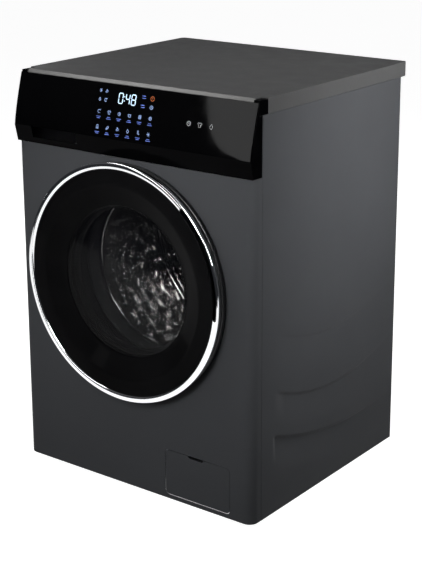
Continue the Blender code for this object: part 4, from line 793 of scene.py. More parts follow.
def flap_cover():
    low, high = FLAP_LOW, FLAP_HIGH
    outline = rectangle((FLAP_X, FLAP_Z), FLAP_WIDTH, FLAP_HEIGHT, 0.009, 7)
    cover = prism("filter_cover", outline, "Y", low.y, high.y, PAINT, 0.0005, 2)
    slot = prism("slot", rectangle((FLAP_X - 0.004, high.z), 0.038, 0.010, 0.004, 6), "Y", low.y - 0.01,
                 high.y + 0.01, None)
    carve(cover, slot)
    fit(cover, "flap", "graphite_paint", "filter_flap")


# ---------------------------------------------------------------- console
def console_y(z):
    whole = max((z - CHIN_Z) / (GLASS_TOP - CHIN_Z), 0.0)
    return FRONT - CONSOLE_BULGE + (CONSOLE_BULGE + CONSOLE_TOP_BACK) * whole ** 1.25


def console_line(inset, low, high, steps=26):
    return [(console_y(low + (high - low) * s / steps) + inset, low + (high - low) * s / steps)
            for s in range(steps + 1)]


DRAWER_LOW, DRAWER_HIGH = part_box("detergent_drawer")


def console():
    seat = GLASS_THICK + GAP
    lip = CHIN_Z - GAP
    top_y, back = TOP_LOW.y - GAP, FRONT + 0.0288
    outline = [(FRONT + 0.001, CONSOLE_Z), (FRONT - CONSOLE_BULGE + 0.001, lip - 0.004),
               (FRONT - CONSOLE_BULGE, lip)]
    outline += console_line(seat, lip, GLASS_TOP - 0.001)
    outline += [(top_y, GLASS_TOP - 0.001), (top_y, TOP_LOW.z - GAP), (back, TOP_LOW.z - GAP),
                (back, CONSOLE_Z)]
    body = prism("console_moulding", outline, "X", -HALF, HALF, GLOSS_FRAME, 0.0012, 3)
    wall = 0.0025
    inside = [(FRONT + 0.0005 + wall, CONSOLE_Z + wall)]
    inside += console_line(seat + wall, CHIN_Z - 0.010, TOP_LOW.z - wall)
    inside += [(back + 0.01, TOP_LOW.z - wall), (back + 0.01, CONSOLE_Z + wall)]
    carve(body, prism("inside", inside, "X", -HALF + wall, HALF - wall, None))
    clear = 0.0015
    opening = slab("opening", (DRAWER_LOW.x - clear, FRONT - 0.05, DRAWER_LOW.z - clear),
                   (DRAWER_HIGH.x + clear, FRONT + 0.05, DRAWER_HIGH.z + clear), None, 0.0, 0.002, "Y")
    middle = (DRAWER_LOW.x + DRAWER_HIGH.x) / 2
    grip = [(FRONT - 0.02, CONSOLE_Z + 0.010), (FRONT + 0.014, CONSOLE_Z + 0.014),
            (FRONT + 0.014, CHIN_Z - 0.002), (FRONT - 0.02, CHIN_Z + 0.004)]
    carve(body, opening, prism("grip", grip, "X", middle - 0.060, middle + 0.060, None))
    caps = []
    hook_back = WORKTOP_NOTCH_Y - GAP
    for side in (-1, 1):
        near, far = sorted((side * HALF, side * (HALF - HOOK_WIDTH)))
        hook = [(FRONT + CONSOLE_TOP_BACK + seat, GLASS_TOP - 0.0235), (back - GAP, GLASS_TOP - 0.0235),
                (back - GAP, TOP_LOW.z + GAP), (hook_back, TOP_LOW.z + GAP),
                (hook_back, TOP_HIGH.z - 0.002), (FRONT + CONSOLE_TOP_BACK + seat, TOP_HIGH.z - 0.002)]
        caps.append(prism("hook", rounded(hook, 0.002, 3), "X", near, far, GLOSS_FRAME, 0.0010, 2))
    fit(merge("console_frame", [body] + caps), "cabinet", "black_plastic", "console_body")

    sheet = console_line(0.0, CHIN_Z, GLASS_TOP)
    sheet += console_line(GLASS_THICK, CHIN_Z, GLASS_TOP)[::-1]
    glass = prism("console_panel", sheet, "X", DRAWER_SEAM + SEAM / 2, HALF - GLASS_EDGE, GLOSS, 0.0004, 2)
    fit(glass, "cabinet", "black_gloss", "console_glass")

    face = prism("drawer_panel", sheet, "X", -HALF + GLASS_EDGE, DRAWER_SEAM - SEAM / 2, GLOSS, 0.0004, 2)
    core = console_line(GLASS_THICK - 0.001, DRAWER_LOW.z, DRAWER_HIGH.z, 12)
    core += [(FRONT + 0.0215, DRAWER_HIGH.z), (FRONT + 0.0215, DRAWER_LOW.z)]
    block = prism("core", core, "X", DRAWER_LOW.x, DRAWER_HIGH.x, BLACK, 0.0006, 1)
    fit(merge("drawer_face", [face, block]), "drawer", "black_gloss", "drawer_front")


def decal(name, polygons, material):
    """Thin raised shapes on the console's curved face. Each polygon is a list of (x, z)."""
    front, back = 0.00022, 0.00004
    builder = bmesh.new()
    for polygon in polygons:
        outer = [builder.verts.new((x, console_y(z) - front, z)) for x, z in polygon]
        inner = [builder.verts.new((x, console_y(z) - back, z)) for x, z in polygon]
        builder.faces.new(outer)
        builder.faces.new(inner[::-1])
        for step in range(len(polygon)):
            after = (step + 1) % len(polygon)
            builder.faces.new((outer[step], inner[step], inner[after], outer[after]))
    return add(name, builder, material, 20.0)


def bar_directions(a, b, width):
    """The unit vector along a flat bar, and the one across it to its edge."""
    along = (b - a).normalized()
    return along, Vector((-along.y, along.x)) * width / 2


def stroke(points, width):
    """Quads along a line of (x, z) points."""
    quads = []
    for first, second in zip(points, points[1:]):
        a, b = Vector(first), Vector(second)
        along, side = bar_directions(a, b, width)
        a, b = a - along * width * 0.25, b + along * width * 0.25
        quads.append([tuple(a - side), tuple(b - side), tuple(b + side), tuple(a + side)])
    return quads


def loop(centre, radius, width, start=0.0, end=360.0):
    return stroke(arc(centre, radius, start, end, 14), width)


# Plain line symbols on a square from -1 to 1: open lines, and loops of (x, z, radius, from, to).
SYMBOL_LINES = {
    "shirt": (((-.4, .9), (-1, .5), (-.7, 0), (-.5, .1), (-.5, -.9), (.5, -.9), (.5, .1), (.7, 0), (1, .5),
               (.4, .9), (0, .6), (-.4, .9)),),
    "drop": (((0, 1), (-.6, 0), (-.6, -.5), (0, -1), (.6, -.5), (.6, 0), (0, 1)),),
    "clock": (((0, .5), (0, 0), (.4, -.2)),),
    "basin": (((-.9, .6), (-.7, -.7), (.7, -.7), (.9, .6)),
              ((-.9, .6), (-.4, .3), (0, .6), (.4, .3), (.9, .6))),
    "star": tuple(((x, z), (-x, -z)) for x, z in round_spots(1.0, (0, 60, 120))),
    "trousers": (((-.5, .9), (.5, .9), (.7, -.9), (.2, -.9), (0, .2), (-.2, -.9), (-.7, -.9), (-.5, .9)),),
    "leaf": (((-.8, -.8), (-.6, .3), (.2, .9), (.8, .8), (.7, 0), (0, -.6), (-.8, -.8), (.5, .5)),),
    "machine": (((-.7, .8), (.7, .8), (.7, -.8), (-.7, -.8), (-.7, .8)),),
    "sock": (((-.3, 1), (.3, 1), (.3, -.1), (.9, -.6), (.5, -.9), (-.3, -.4), (-.3, 1)),),
    "turn": (((.3, .9), (.75, .55), (1.0, 1.0)),),
}
SYMBOL_LOOPS = {
    "clock": ((0, 0, 0.85, 0, 360),),
    "swirl": ((0, 0, 0.85, 0, 360), (0, 0, 0.35, 0, 300)),
    "cotton": ((-.4, -.3, 0.4, 0, 360), (.4, 0, 0.5, 0, 360), (-.1, .7, 0.25, 0, 360)),
    "machine": ((0, 0, 0.4, 0, 360),),
    "turn": ((0, 0, 0.85, 40, 320),),
}


def symbol(kind, centre, size, width):
    x, z = centre
    quads = []
    for right, up, radius, first, last in SYMBOL_LOOPS.get(kind, ()):
        quads += loop((x + right * size, z + up * size), radius * size, width, first, last)
    for line in SYMBOL_LINES.get(kind, ()):
        quads += stroke([(x + right * size, z + up * size) for right, up in line], width)
    return quads


SEGMENTS = {"0": "abcdef", "4": "bcfg", "8": "abcdefg"}


def seven_segment(digit, left, bottom, width, height, bar):
    """A digit of separate bars with pointed ends."""
    middle, top, right = bottom + height / 2, bottom + height, left + width
    ends = {"a": ((left, top), (right, top)), "b": ((right, top), (right, middle)),
            "c": ((right, middle), (right, bottom)), "d": ((left, bottom), (right, bottom)),
            "e": ((left, middle), (left, bottom)), "f": ((left, top), (left, middle)),
            "g": ((left, middle), (right, middle))}
    shapes = []
    for key in SEGMENTS[digit]:
        a, b = Vector(ends[key][0]), Vector(ends[key][1])
        along, side = bar_directions(a, b, bar)
        a, b = a + along * bar * 0.15, b - along * bar * 0.15
        point = along * bar / 2
        shapes.append([tuple(spot) for spot in (a, a + point - side, b - point - side, b, b - point + side,
                                                a + point + side)])
    return shapes


def console_marks():
    digit_w, digit_h, bar = 0.0100, 0.0190, 0.0021
    bottom = 0.8095
    digits = seven_segment("0", -0.0285, bottom, digit_w, digit_h, bar)
    digits += seven_segment("4", -0.0105, bottom, digit_w * 0.9, digit_h, bar)
    digits += seven_segment("8", 0.0035, bottom, digit_w, digit_h, bar)
    for z in (bottom + 0.0055, bottom + 0.0135):
        digits.append(rectangle((-0.0145, z), 0.0021, 0.0021))
    fit(decal("time_digits", digits, LIT_DIGITS), "cabinet", "black_gloss")

    symbols, words = [], []
    width = 0.00085
    kinds = iter("turn shirt clock basin machine swirl trousers leaf cotton drop sock star".split())
    for row_z, dash_z in ((0.7895, 0.7800), (0.7600, 0.7505)):
        for column in range(6):
            x = -0.0735 + 0.0258 * column
            symbols += symbol(next(kinds), (x, row_z), 0.0037, width)
            for line in range(2):
                length = 0.0105 - 0.0035 * ((column + line) % 2)
                z = dash_z - 0.0030 * line
                words += stroke([(x - length / 2, z), (x + length / 2, z)], 0.0010)
    for x, z, kind in ((-0.076, 0.8290, "star"), (-0.061, 0.8285, "cotton"), (-0.076, 0.8125, "drop"),
                       (-0.061, 0.8120, "turn")):
        symbols += symbol(kind, (x, z), 0.0033, width)
    for x, z in ((0.0325, 0.8290), (0.0335, 0.8250), (0.0325, 0.8120), (0.0335, 0.8080)):
        words += stroke([(x - 0.0040, z), (x + 0.0040, z)], 0.0012)
    symbols += symbol("clock", (0.0545, 0.8100), 0.0040, width)
    fit(decal("lit_symbols", symbols, LIT), "cabinet", "black_gloss")
    fit(decal("lit_lines", words, LIT_BLUE), "cabinet", "black_gloss")
    ring = loop((0.0540, 0.8260), 0.0043, 0.0010) + stroke([(0.0540, 0.8255), (0.0540, 0.8295)], 0.0010)
    fit(decal("lit_ring", ring, LIT_ORANGE), "cabinet", "black_gloss")
    touch = []
    for x, kind in ((0.148, "clock"), (0.1735, "shirt"), (0.2005, "drop")):
        touch += symbol(kind, (x, 0.7915), 0.0048, 0.0009)
    fit(decal("touch_symbols", touch, PRINT), "cabinet", "black_gloss")


# ---------------------------------------------------------------- door
def sector_tool(inner, outer, front, back):
    return prism("recess", arc_band(inner, outer, *RECESS_ANGLES), "Y", front, back, None)


def round_recess_tool(inner, outer, front, back, end_radius):
    """The recess with rounded ends."""
    middle, half = (inner + outer) / 2, (outer - inner) / 2
    trim = math.degrees(end_radius / middle)
    low, high = RECESS_ANGLES[0] + trim, RECESS_ANGLES[1] - trim
    outline = []
    for radius, first, last, sign in ((outer, low, high, 1), (inner, high, low, -1)):
        outline += arc((0.0, DOOR_Z), radius, first, last, 60)
        for step in range(1, 8):
            turn = math.pi * step / 8
            reach = middle + sign * math.cos(turn) * half
            outline += round_spots(reach, [last + sign * math.sin(turn) * trim], (0.0, DOOR_Z))
    return prism("recess", outline, "Y", front, back, None)


def chrome_ring():
    inner, outer = COVER_RADIUS + GAP, DOOR_RADIUS
    back, middle = RING_BACK_Y, (COVER_RADIUS + DOOR_RADIUS) / 2
    half = (outer - inner) / 2
    crown = 0.0034
    profile = [(outer, back), (outer, DOOR_FACE + crown + 0.0006)]
    for step in range(1, 16):
        angle = math.pi * step / 16
        lower = 0.0010 * step / 16
        profile.append((middle + half * math.cos(angle),
                        DOOR_FACE + crown + lower - crown * math.sin(angle) ** 0.8))
    profile += [(inner, DOOR_FACE + crown + 0.0016), (inner, back)]
    ring = lathe("chrome_ring", profile, CHROME, segments=216, smooth=50.0)
    slot = round_recess_tool(COVER_RADIUS + 0.0020, FRAME_RADIUS, DOOR_FACE - 0.01, back + 0.01, 0.004)
    carve(ring, slot, smooth=50.0)
    fit(ring, "door", "chrome", "door_ring")


def cover():
    """The smoked cover: a flat rim, a shoulder, a slope and a slightly domed window."""
    thick, dome = 0.003, 0.004
    front = [(COVER_RADIUS, RIM_Y + 0.0010), (COVER_RADIUS - 0.0006, RIM_Y + 0.0002),
             (COVER_RADIUS - 0.0018, RIM_Y)]
    front += [(SHOULDER_RADIUS + 0.012, RIM_Y - 0.0004), (SHOULDER_RADIUS + 0.006, RIM_Y - 0.0003)]
    for step in range(9):
        t = step / 8
        front.append((SHOULDER_RADIUS + 0.004 - 0.010 * t, RIM_Y + 0.0030 * t * t))
    front.append((WINDOW_RADIUS + 0.008, WINDOW_Y - 0.0027))
    for step in range(7):
        t = step / 6
        front.append((WINDOW_RADIUS + 0.006 - 0.010 * t, WINDOW_Y - 0.0019 + 0.0019 * (1 - (1 - t) ** 2)))
    edge = WINDOW_RADIUS - 0.004
    for step in range(1, 13):
        share = 1 - step / 12
        front.append((edge * share, WINDOW_Y - dome * (1 - share * share)))
    back = [(r, y + thick) for r, y in reversed(front[4:])] + [(COVER_RADIUS, RIM_Y + thick)]
    obj = lathe("smoked_cover", front + back, SMOKED, segments=180, smooth=50.0)
    obj.data.materials.append(RIM_GLOSS)
    for polygon in obj.data.polygons:
        away = math.hypot(polygon.center.x, polygon.center.z - DOOR_Z)
        if away > WINDOW_RADIUS + 0.0005:
            polygon.material_index = 1
    fit(obj, "door", "smoked_cover", "door_cover")


def bowl_radius(share):
    return WINDOW_RADIUS - 0.004 - 0.034 * share


BOWL_LOW, BOWL_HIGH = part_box("door_bowl")


def bowl():
    """The clear cup that reaches into the drum's mouth, with a rounded far edge."""
    start, end, wall = BOWL_LOW.y, BOWL_HIGH.y, 0.0045
    flange = BOWL_HIGH.x
    corner, far = 0.018, bowl_radius(1.0)
    outer = [(flange, start), (flange, start + 0.006), (bowl_radius(0.0), start + 0.006), (far, end - corner)]
    inner = [(bowl_radius(0.0) - wall, start)]
    middle = (far - corner, end - 0.002 - corner)
    outline = outer + arc(middle, corner, 10, 90, 8) + [(0.0, end), (0.0, end - wall)]
    outline += arc(middle, corner - wall, 90, 10, 8) + [(far - wall, end - corner)] + inner
    fit(lathe("glass_bowl", outline, CLEAR, segments=144, smooth=50.0), "door", "clear_glass", "door_bowl")


HINGE_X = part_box("hinge_leaf")[0].x + 0.0060
FRAME_INNER = WINDOW_RADIUS + 0.015


def door_moulding():
    rim, back = COVER_RADIUS + GAP, FRONT - 0.0025
    step_y, ring_y = RIM_Y + 0.0033, RING_BACK_Y + GAP
    profile = [(FRAME_RADIUS - inward, back - ahead) for inward, ahead in (
        (0.0035, 0.0), (0.0010, 0.0022), (0.0, 0.006), (0.0, 0.0120), (0.0010, 0.0126), (0.0010, 0.0146),
        (0.0, 0.0152))]
    profile += [(FRAME_RADIUS, ring_y), (rim, ring_y), (rim, step_y),
                (SHOULDER_RADIUS + 0.002, step_y + 0.001), (FRAME_INNER, WINDOW_Y + 0.006)]
    profile += [(FRAME_INNER + outward, back - ahead) for outward, ahead in (
        (0.0, 0.0), (0.010, 0.0), (0.012, 0.002), (0.024, 0.002), (0.026, 0.0))]
    frame = lathe("door_moulding", profile, BLACK, segments=180)
    carve(frame, sector_tool(COVER_RADIUS - 0.013, FRAME_RADIUS - 0.0025, DOOR_FACE - 0.01, RIM_Y + 0.022))
    half = 0.062
    hinge = slab("pocket", (HINGE_X - 0.02, FRONT - 0.0285, DOOR_Z - half),
                 (HINGE_X + 0.026, FRONT + 0.01, DOOR_Z + half), None, 0.0, 0.0)
    latch = slab("pocket", (LATCH_X - 0.009, FRONT - 0.022, DOOR_Z - 0.0045),
                 (LATCH_X + 0.009, FRONT + 0.01, DOOR_Z + 0.0045), None, 0.0, 0.0)
    carve(frame, hinge, latch)
    fit(frame, "door", "black_plastic", "door_frame")

    spots = round_spots(FRAME_INNER + 0.042, (20, 62, 100, 140, 215, 255, 290, 330), (0.0, DOOR_Z))
    screws = [screw((x, back, z), "Y", 1, 0.0032) for x, z in spots]
    fit(merge("door_screws", screws), "door", "galvanised_steel")

    seat = BOWL_LOW.y + 0.0063
    outer, inner = FRAME_INNER - 0.0004, bowl_radius(0.0) + 0.003
    clamp = [(inner, seat), (outer, seat), (outer, FRONT + 0.004), (outer - 0.004, FRONT + 0.008),
             (inner + 0.005, FRONT + 0.008), (inner, FRONT + 0.004)]
    fit(lathe("bowl_clamp", clamp, BLACK, soften=0.0012), "door", "black_plastic", "door_back_ring")


# ---------------------------------------------------------------- gasket, drum and tub
NECK_RADIUS = 0.176


def gasket():
    """The folded grey sleeve between the cabinet's opening and the tub's neck."""
    lip = bowl_radius(0.22) + 0.0025
    start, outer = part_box("door_gasket")[0].y, 0.186
    neck_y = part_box("tub_front")[0].y
    thick = 0.0035
    spine = [(base + out, start + along, 0.0) for base, out, along in (
        (outer, -0.0015, 0.0012), (outer, -0.0085, 0.0020), (outer, -0.0110, 0.0085), (lip, 0.012, 0.0105),
        (lip, 0.003, 0.0125), (lip, 0.0022, 0.0155), (lip, 0.009, 0.0205), (outer, -0.0095, 0.0250),
        (outer, -0.0040, 0.0300), (outer, -0.0060, 0.0345), (outer, 0.0010, 0.0385), (outer, 0.0035, 0.0430),
        (outer, -0.0015, 0.0475))]
    spine += [(NECK_RADIUS + 0.0030, neck_y - 0.0050, 0.0), (NECK_RADIUS + 0.0034, neck_y + 0.0110, 0.0)]
    path = smooth_path(spine, 4)
    left, right = [], []
    for index, point in enumerate(path):
        along = direction(path, index)
        side = Vector((-along.y, along.x, 0.0)) * thick * 0.5
        left.append(((point + side).x, (point + side).y))
        right.append(((point - side).x, (point - side).y))
    sleeve = lathe("door_sleeve", left + right[::-1], GREY_RUBBER, segments=144, smooth=60.0)
    flex(sleeve, "door_gasket")

    band_y = start + 0.0042
    wire = round_spots(0.0012, range(0, 360, 36), (outer - 0.0075, band_y))
    band = lathe("sleeve_band", wire, ZINC, smooth=60.0)
    fit(band, "cabinet", "galvanised_steel")


DRUM_RADIUS = DRUM_HIGH.x - 0.0015
DRUM_FRONT_Y, DRUM_REAR_Y = DRUM_LOW.y + 0.020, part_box("drum_back")[0].y
DRUM_CELLS = (54, 8)


def drum_wall():
    """The drum's wall, pressed in a chequer of pillows, every other cell holed. One vertex for each place."""
    round_count, long_count = DRUM_CELLS
    builder = bmesh.new()
    verts = {}
    length = DRUM_REAR_Y - DRUM_FRONT_Y

    def vert(i, j, u, v, rise):
        key = (round((i + u) * 48) % (48 * round_count), round((j + v) * 48))
        if key not in verts:
            angle = 2 * math.pi * (i + u) / round_count
            radius = DRUM_RADIUS - 0.0022 - rise
            y = DRUM_FRONT_Y + length * (j + v) / long_count
            verts[key] = builder.verts.new((radius * math.cos(angle), y, DOOR_Z + radius * math.sin(angle)))
        return verts[key]

    border = [(s / 4, 0.0) for s in range(4)] + [(1.0, s / 4) for s in range(4)] \
        + [(1 - s / 4, 1.0) for s in range(4)] + [(0.0, 1 - s / 4) for s in range(4)]
    for i in range(round_count):
        for j in range(long_count):
            holed = (i + j) % 2 == 0
            rings = [(1.0, 0.0)]
            rings += [(0.72, 0.0002), (0.30, 0.0008), (0.16, 0.0006)] if holed else \
                [(0.82, 0.0007), (0.60, 0.0020), (0.32, 0.0028)]
            loops = []
            for size, rise in rings:
                loop_verts = []
                for u, v in border:
                    off = Vector((u - 0.5, v - 0.5))
                    if size < 1.0:
                        off = off.normalized() * (0.5 * size) * (1 - 0.15 * (1 - size)) if size <= 0.32 else \
                            off.lerp(off.normalized() * 0.55, 0.6) * size
                    loop_verts.append(vert(i, j, 0.5 + off.x, 0.5 + off.y, rise))
                loops.append(loop_verts)
            for first, second in zip(loops, loops[1:]):
                for step in range(16):
                    after = (step + 1) % 16
                    corners = list(dict.fromkeys((first[step], first[after], second[after], second[step])))
                    if len(corners) > 2:
                        builder.faces.new(corners)
            if not holed:
                centre = vert(i, j, 0.5, 0.5, 0.0030)
                for step in range(16):
                    corners = (loops[-1][step], loops[-1][(step + 1) % 16], centre)
                    if len(set(corners)) == 3:
                        builder.faces.new(corners)
    return add("pillowed_wall", builder, STEEL, 60.0)


def drum():
    wall = thicken(drum_wall(), 0.0008, smooth=60.0)
    mouth, bead, hem = 0.165, 0.214, 0.0033
    front, outer = DRUM_LOW.y, DRUM_HIGH.x
    start = DRUM_FRONT_Y
    profile = [(base + out, front + along) for base, out, along in (
        (mouth, 0.0, 0.0035), (mouth, 0.001, 0.0010), (mouth, 0.004, 0.0), (mouth, 0.008, 0.0010),
        (mouth, 0.014, 0.0045), (bead, -0.009, 0.0050), (bead, 0.0, 0.0030), (bead, 0.008, 0.0050),
        (outer, -0.006, 0.0070), (outer, -0.0015, 0.0095), (outer, 0.0, 0.0140))]
    profile += [(outer, start + 0.001), (outer - hem, start + 0.001)]
    profile += [(base + out, front + along) for base, out, along in (
        (outer, -hem, 0.0150), (outer, -0.008, 0.0090), (bead, 0.008, 0.0068), (bead, 0.0, 0.0048),
        (bead, -0.009, 0.0068), (mouth, 0.013, 0.0062), (mouth, 0.006, 0.0030), (mouth, 0.003, 0.0045))]
    lip = lathe("drum_lip", profile, STEEL, segments=180, smooth=60.0)
    low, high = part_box("drum_back")
    seam_start, seam_end, inner = DRUM_REAR_Y - 0.001, DRUM_HIGH.y, outer - 0.0035
    corners = [(outer, seam_start), (outer, seam_end), (inner, seam_end), (inner, seam_start)]
    seam = lathe("drum_seam", corners, STEEL, segments=180, smooth=60.0)
    fit(merge("drum_wall", [wall, lip, seam], 60.0), "drum", "stainless_steel", "drum_shell")

    disc = drum_disc(outer - 0.0045, low.y, high.y - 0.0015)
    fit(disc, "drum", "stainless_steel", "drum_back")


def disc_rise(x, z):
    """Height of the drum's back towards the front: a sunk middle and a field of small domes."""
    away = math.hypot(x, z)
    rise = 0.0040 * (1 - smoothstep(0.186, 0.200, away)) - 0.0040 * (1 - smoothstep(0.056, 0.068, away))
    pitch = 0.0235
    row = round(z / (pitch * 0.866))
    offset = pitch / 2 if row % 2 else 0.0
    column = round((x - offset) / pitch)
    near_x, near_z = column * pitch + offset, row * pitch * 0.866
    if 0.078 < math.hypot(near_x, near_z) < 0.176 or 0.206 < math.hypot(near_x, near_z) < 0.221:
        rise += 0.0034 * (1 - smoothstep(0.0, 0.0090, math.hypot(x - near_x, z - near_z)))
    return rise


def drum_disc(outer, front, face):
    rings, sides = 96, 288
    grid = []
    for ring in range(rings + 1):
        radius = outer * (0.012 + 0.988 * ring / rings)
        flange = 0.0095 * smoothstep(outer - 0.010, outer, radius)
        row = []
        for side in range(sides):
            angle = 2 * math.pi * side / sides
            x, z = radius * math.cos(angle), radius * math.sin(angle)
            row.append((x, max(face - disc_rise(x, z) - flange, front + 0.001), DOOR_Z + z))
        grid.append(row)
    builder = skin(grid, closed=True)
    builder.verts.ensure_lookup_table()
    builder.faces.new(builder.verts[:sides])
    return thicken(add("drum_disc", builder, STEEL, 60.0), 0.0010, smooth=60.0)


def lifters():
    """Hollow ridges with a rounded crest, along the drum's wall."""
    for number in (1, 2, 3):
        low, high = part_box(f"lifter_{number}")
        angle = math.radians(168 + 120 * (number - 1))
        outward = Vector((math.cos(angle), 0.0, math.sin(angle)))
        across = Vector((-outward.z, 0.0, outward.x))
        rows = []
        base, top, steps, columns = DRUM_RADIUS - 0.0045, DRUM_RADIUS - 0.049, 30, 16
        for row in range(steps + 1):
            share = row / steps
            y = low.y + (high.y - low.y) * share
            ends = smoothstep(0.0, 0.10, share) * (1 - smoothstep(0.90, 1.0, share))
            lift = ends * (0.88 + 0.12 * math.sin(math.pi * share))
            line = []
            for step in range(columns + 1):
                t = -1 + 2 * step / columns
                height = (base - top) * lift * (1 - abs(t) ** 2.6) ** 0.8
                width = 0.028 * (0.55 + 0.45 * (abs(t)))
                line.append(DOOR_CENTRE + outward * (base - height) + across * t * width + Vector((0, y, 0)))
            rows.append(line)
        ridge = add(f"ridge_{number}", skin(rows), STEEL, 50.0)
        fit(thicken(ridge, 0.0010, smooth=50.0), "drum", "stainless_steel", f"lifter_{number}")


# ---------------------------------------------------------------- hoses, feet, rear fittings and drawer
def corrugated(name, points, radius, material, ridge=0.0012, pitch=0.006, sides=20):
    """A ribbed hose along points."""
    points = [Vector(p) for p in points]
    spots, radii = [], []
    travelled = 0.0
    for first, second in zip(points, points[1:]):
        length = (second - first).length
        steps = max(2, int(length / (pitch / 4)))
        for step in range(steps):
            t = step / steps
            spots.append(first.lerp(second, t))
            phase = 2 * math.pi * (travelled + length * t) / pitch
            radii.append(radius - ridge / 2 + ridge / 2 * math.cos(phase))
        travelled += length
    spots.append(points[-1])
    radii.append(radius - ridge / 2)
    return tube(name, spots, radii, material, sides)


def feet():
    for name_x in ("left", "right"):
        for name_y in ("front", "rear"):
            low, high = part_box(f"foot_{name_y}_{name_x}")
            x, y, _ = (low + high) / 2
            radius = (high.x - low.x) / 2
            pad = [(0.0, 0.0), (radius - 0.003, 0.0), (radius - 0.0012, 0.0012), (radius - 0.0012, 0.0050),
                   (radius - 0.004, 0.0066), (0.0150, 0.0080), (0.0, 0.0080)]
            rubber = lathe("pad", pad, BLACK_RUBBER, (x, y, 0.0), 48, "Z")
            hexagon = round_spots(0.0095, range(0, 360, 60), (x, y))
            nut = prism("nut", hexagon, "Z", 0.0075, 0.0117, ZINC, 0.0006, 1)
            stem = []
            for turn in range(14):
                z = 0.0117 + turn * 0.0016
                stem += [(0.0048, z), (0.0041, z + 0.0008)]
            thread = lathe("thread", [(0.0, 0.0110)] + stem + [(0.0041, high.z), (0.0, high.z)], ZINC,
                           (x, y, 0.0), 24, "Z")
            body = f"foot_{name_y[0]}{name_x[0]}"
            fit(merge(f"levelling_foot_{name_y}_{name_x}", [rubber, nut, thread]), body, "black_rubber",
                f"foot_{name_y}_{name_x}")


def rear_fittings():
    low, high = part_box("inlet_valve")
    x, z, end = INLET.x, INLET.z, high.y
    body = slab("valve", (x - 0.018, low.y + 0.001, z - 0.016), (x + 0.018, REAR - 0.006, z + 0.018), WHITE,
                0.002, 0.004, "Y")
    coil = slab("coil", (x - 0.014, low.y + 0.006, z + 0.002), (x + 0.014, low.y + 0.034, high.z), BLUE,
                0.0015, 0.003, "Z")
    thread = [(0.0085, REAR - 0.008), (0.0132, REAR - 0.008), (0.0132, REAR + 0.0005)]
    y = REAR + 0.0005
    while y < end - 0.0022:
        thread += [(0.0119, y + 0.0004), (0.0130, y + 0.0011)]
        y += 0.0015
    thread += [(0.0119, end - 0.0008), (0.0112, end), (0.0085, end)]
    port = lathe("port", thread, WHITE, (x, 0.0, z), 48)
    filter_disc = lathe("filter", [(0.0, end - 0.010), (0.0090, end - 0.010), (0.0090, end - 0.008),
                                   (0.0, end - 0.0065)], BLUE, (x, 0.0, z), 32)
    fit(merge("water_inlet", [body, coil, port, filter_disc]), "cabinet", "white_plastic", "inlet_valve")

    low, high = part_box("mains_gland")
    x, z = GLAND.x, GLAND.z
    start = REAR_HIGH.y + GAP
    shell = [(0.0, low.y), (0.0080, low.y), (0.0080, start), (0.0118, start), (0.0118, start + 0.0030),
             (0.0100, start + 0.0045), (0.0085, high.y), (0.0045, high.y), (0.0040, high.y - 0.006),
             (0.0, high.y - 0.006)]
    fit(lathe("cable_gland", shell, BLACK, (x, 0.0, z), 40, soften=0.0008), "cabinet", "black_plastic",
        "mains_gland")

    back = REAR_HIGH.y
    caps = []
    for x, z in ((-0.235, 0.655), (0.235, 0.655), (-0.235, 0.285), (0.235, 0.285)):
        rim = [(0.0, back - 0.0002), (0.0165, back - 0.0002), (0.0165, back + 0.0006),
               (0.0130, back + 0.0018), (0.0118, back + 0.0012), (0.0, back + 0.0009)]
        caps.append(lathe("cap", rim, BLACK, (x, 0.0, z), 48, soften=0.0003))
    fit(merge("transit_caps", caps), "cabinet", "black_plastic")

    underside = [(-0.14, -0.215), (0.14, -0.215), (-0.14, 0.245), (0.14, 0.245)]
    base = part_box("base_tray")[0].z
    screws = [screw((x, y, base), "Z", -1, 0.0040) for x, y in underside]
    fit(merge("tray_screws", screws), "cabinet", "galvanised_steel")


def drain_hose():
    """The ribbed waste hose, from the pump up the right rear corner and out at the back."""
    low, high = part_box("drain_hose")
    pump_y, pump_z = FRONT + 0.090, FLAP_Z - 0.002
    side, rear, out = HALF - 0.024, REAR - 0.034, OUTLET
    knots = [(low.x, pump_y, pump_z), (FLAP_X + 0.050, pump_y, pump_z),
             (side - 0.012, FRONT + 0.108, pump_z - 0.004),
             (side, FRONT + 0.180, pump_z - 0.008), (side, rear - 0.060, pump_z - 0.006),
             (side, rear, pump_z + 0.060), (side, rear, out.z - 0.070), (out.x + 0.014, rear, out.z - 0.020),
             (out.x, REAR - 0.022, out.z), (out.x, REAR - 0.008, out.z)]
    hose = corrugated("ribbed", smooth_path(knots, 8), 0.0094, BLACK_RUBBER)
    end = [(0.0072, REAR - 0.010), (0.0100, REAR - 0.010), (0.0100, REAR + 0.004), (0.0090, REAR + 0.005),
           (0.0090, high.y - 0.002), (0.0084, high.y), (0.0072, high.y)]
    spout = lathe("spout", end, BLACK, (out.x, 0.0, out.z), 40, soften=0.0004)
    fit(merge("waste_hose", [hose, spout]), "cabinet", "black_rubber", "drain_hose")


def dispenser_bellows():
    """The bellows between the dispenser and the tub."""
    low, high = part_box("dispenser_hose")
    x, y, _ = (low + high) / 2
    outer, ribs = (high.x - low.x) / 2, 4
    wave = []
    for step in range(ribs * 12 + 1):
        share = step / (ribs * 12)
        radius = outer - 0.0018 + 0.0018 * math.cos(2 * math.pi * ribs * share)
        wave.append((radius, low.z + (high.z - low.z) * share))
    outline = wave + [(r - 0.0025, z) for r, z in reversed(wave)]
    sleeve = lathe("dispenser_bellows", outline, BLACK_RUBBER, (x, y, 0.0), 48, "Z")
    crisp(sleeve)
    flex(sleeve, "dispenser_hose")


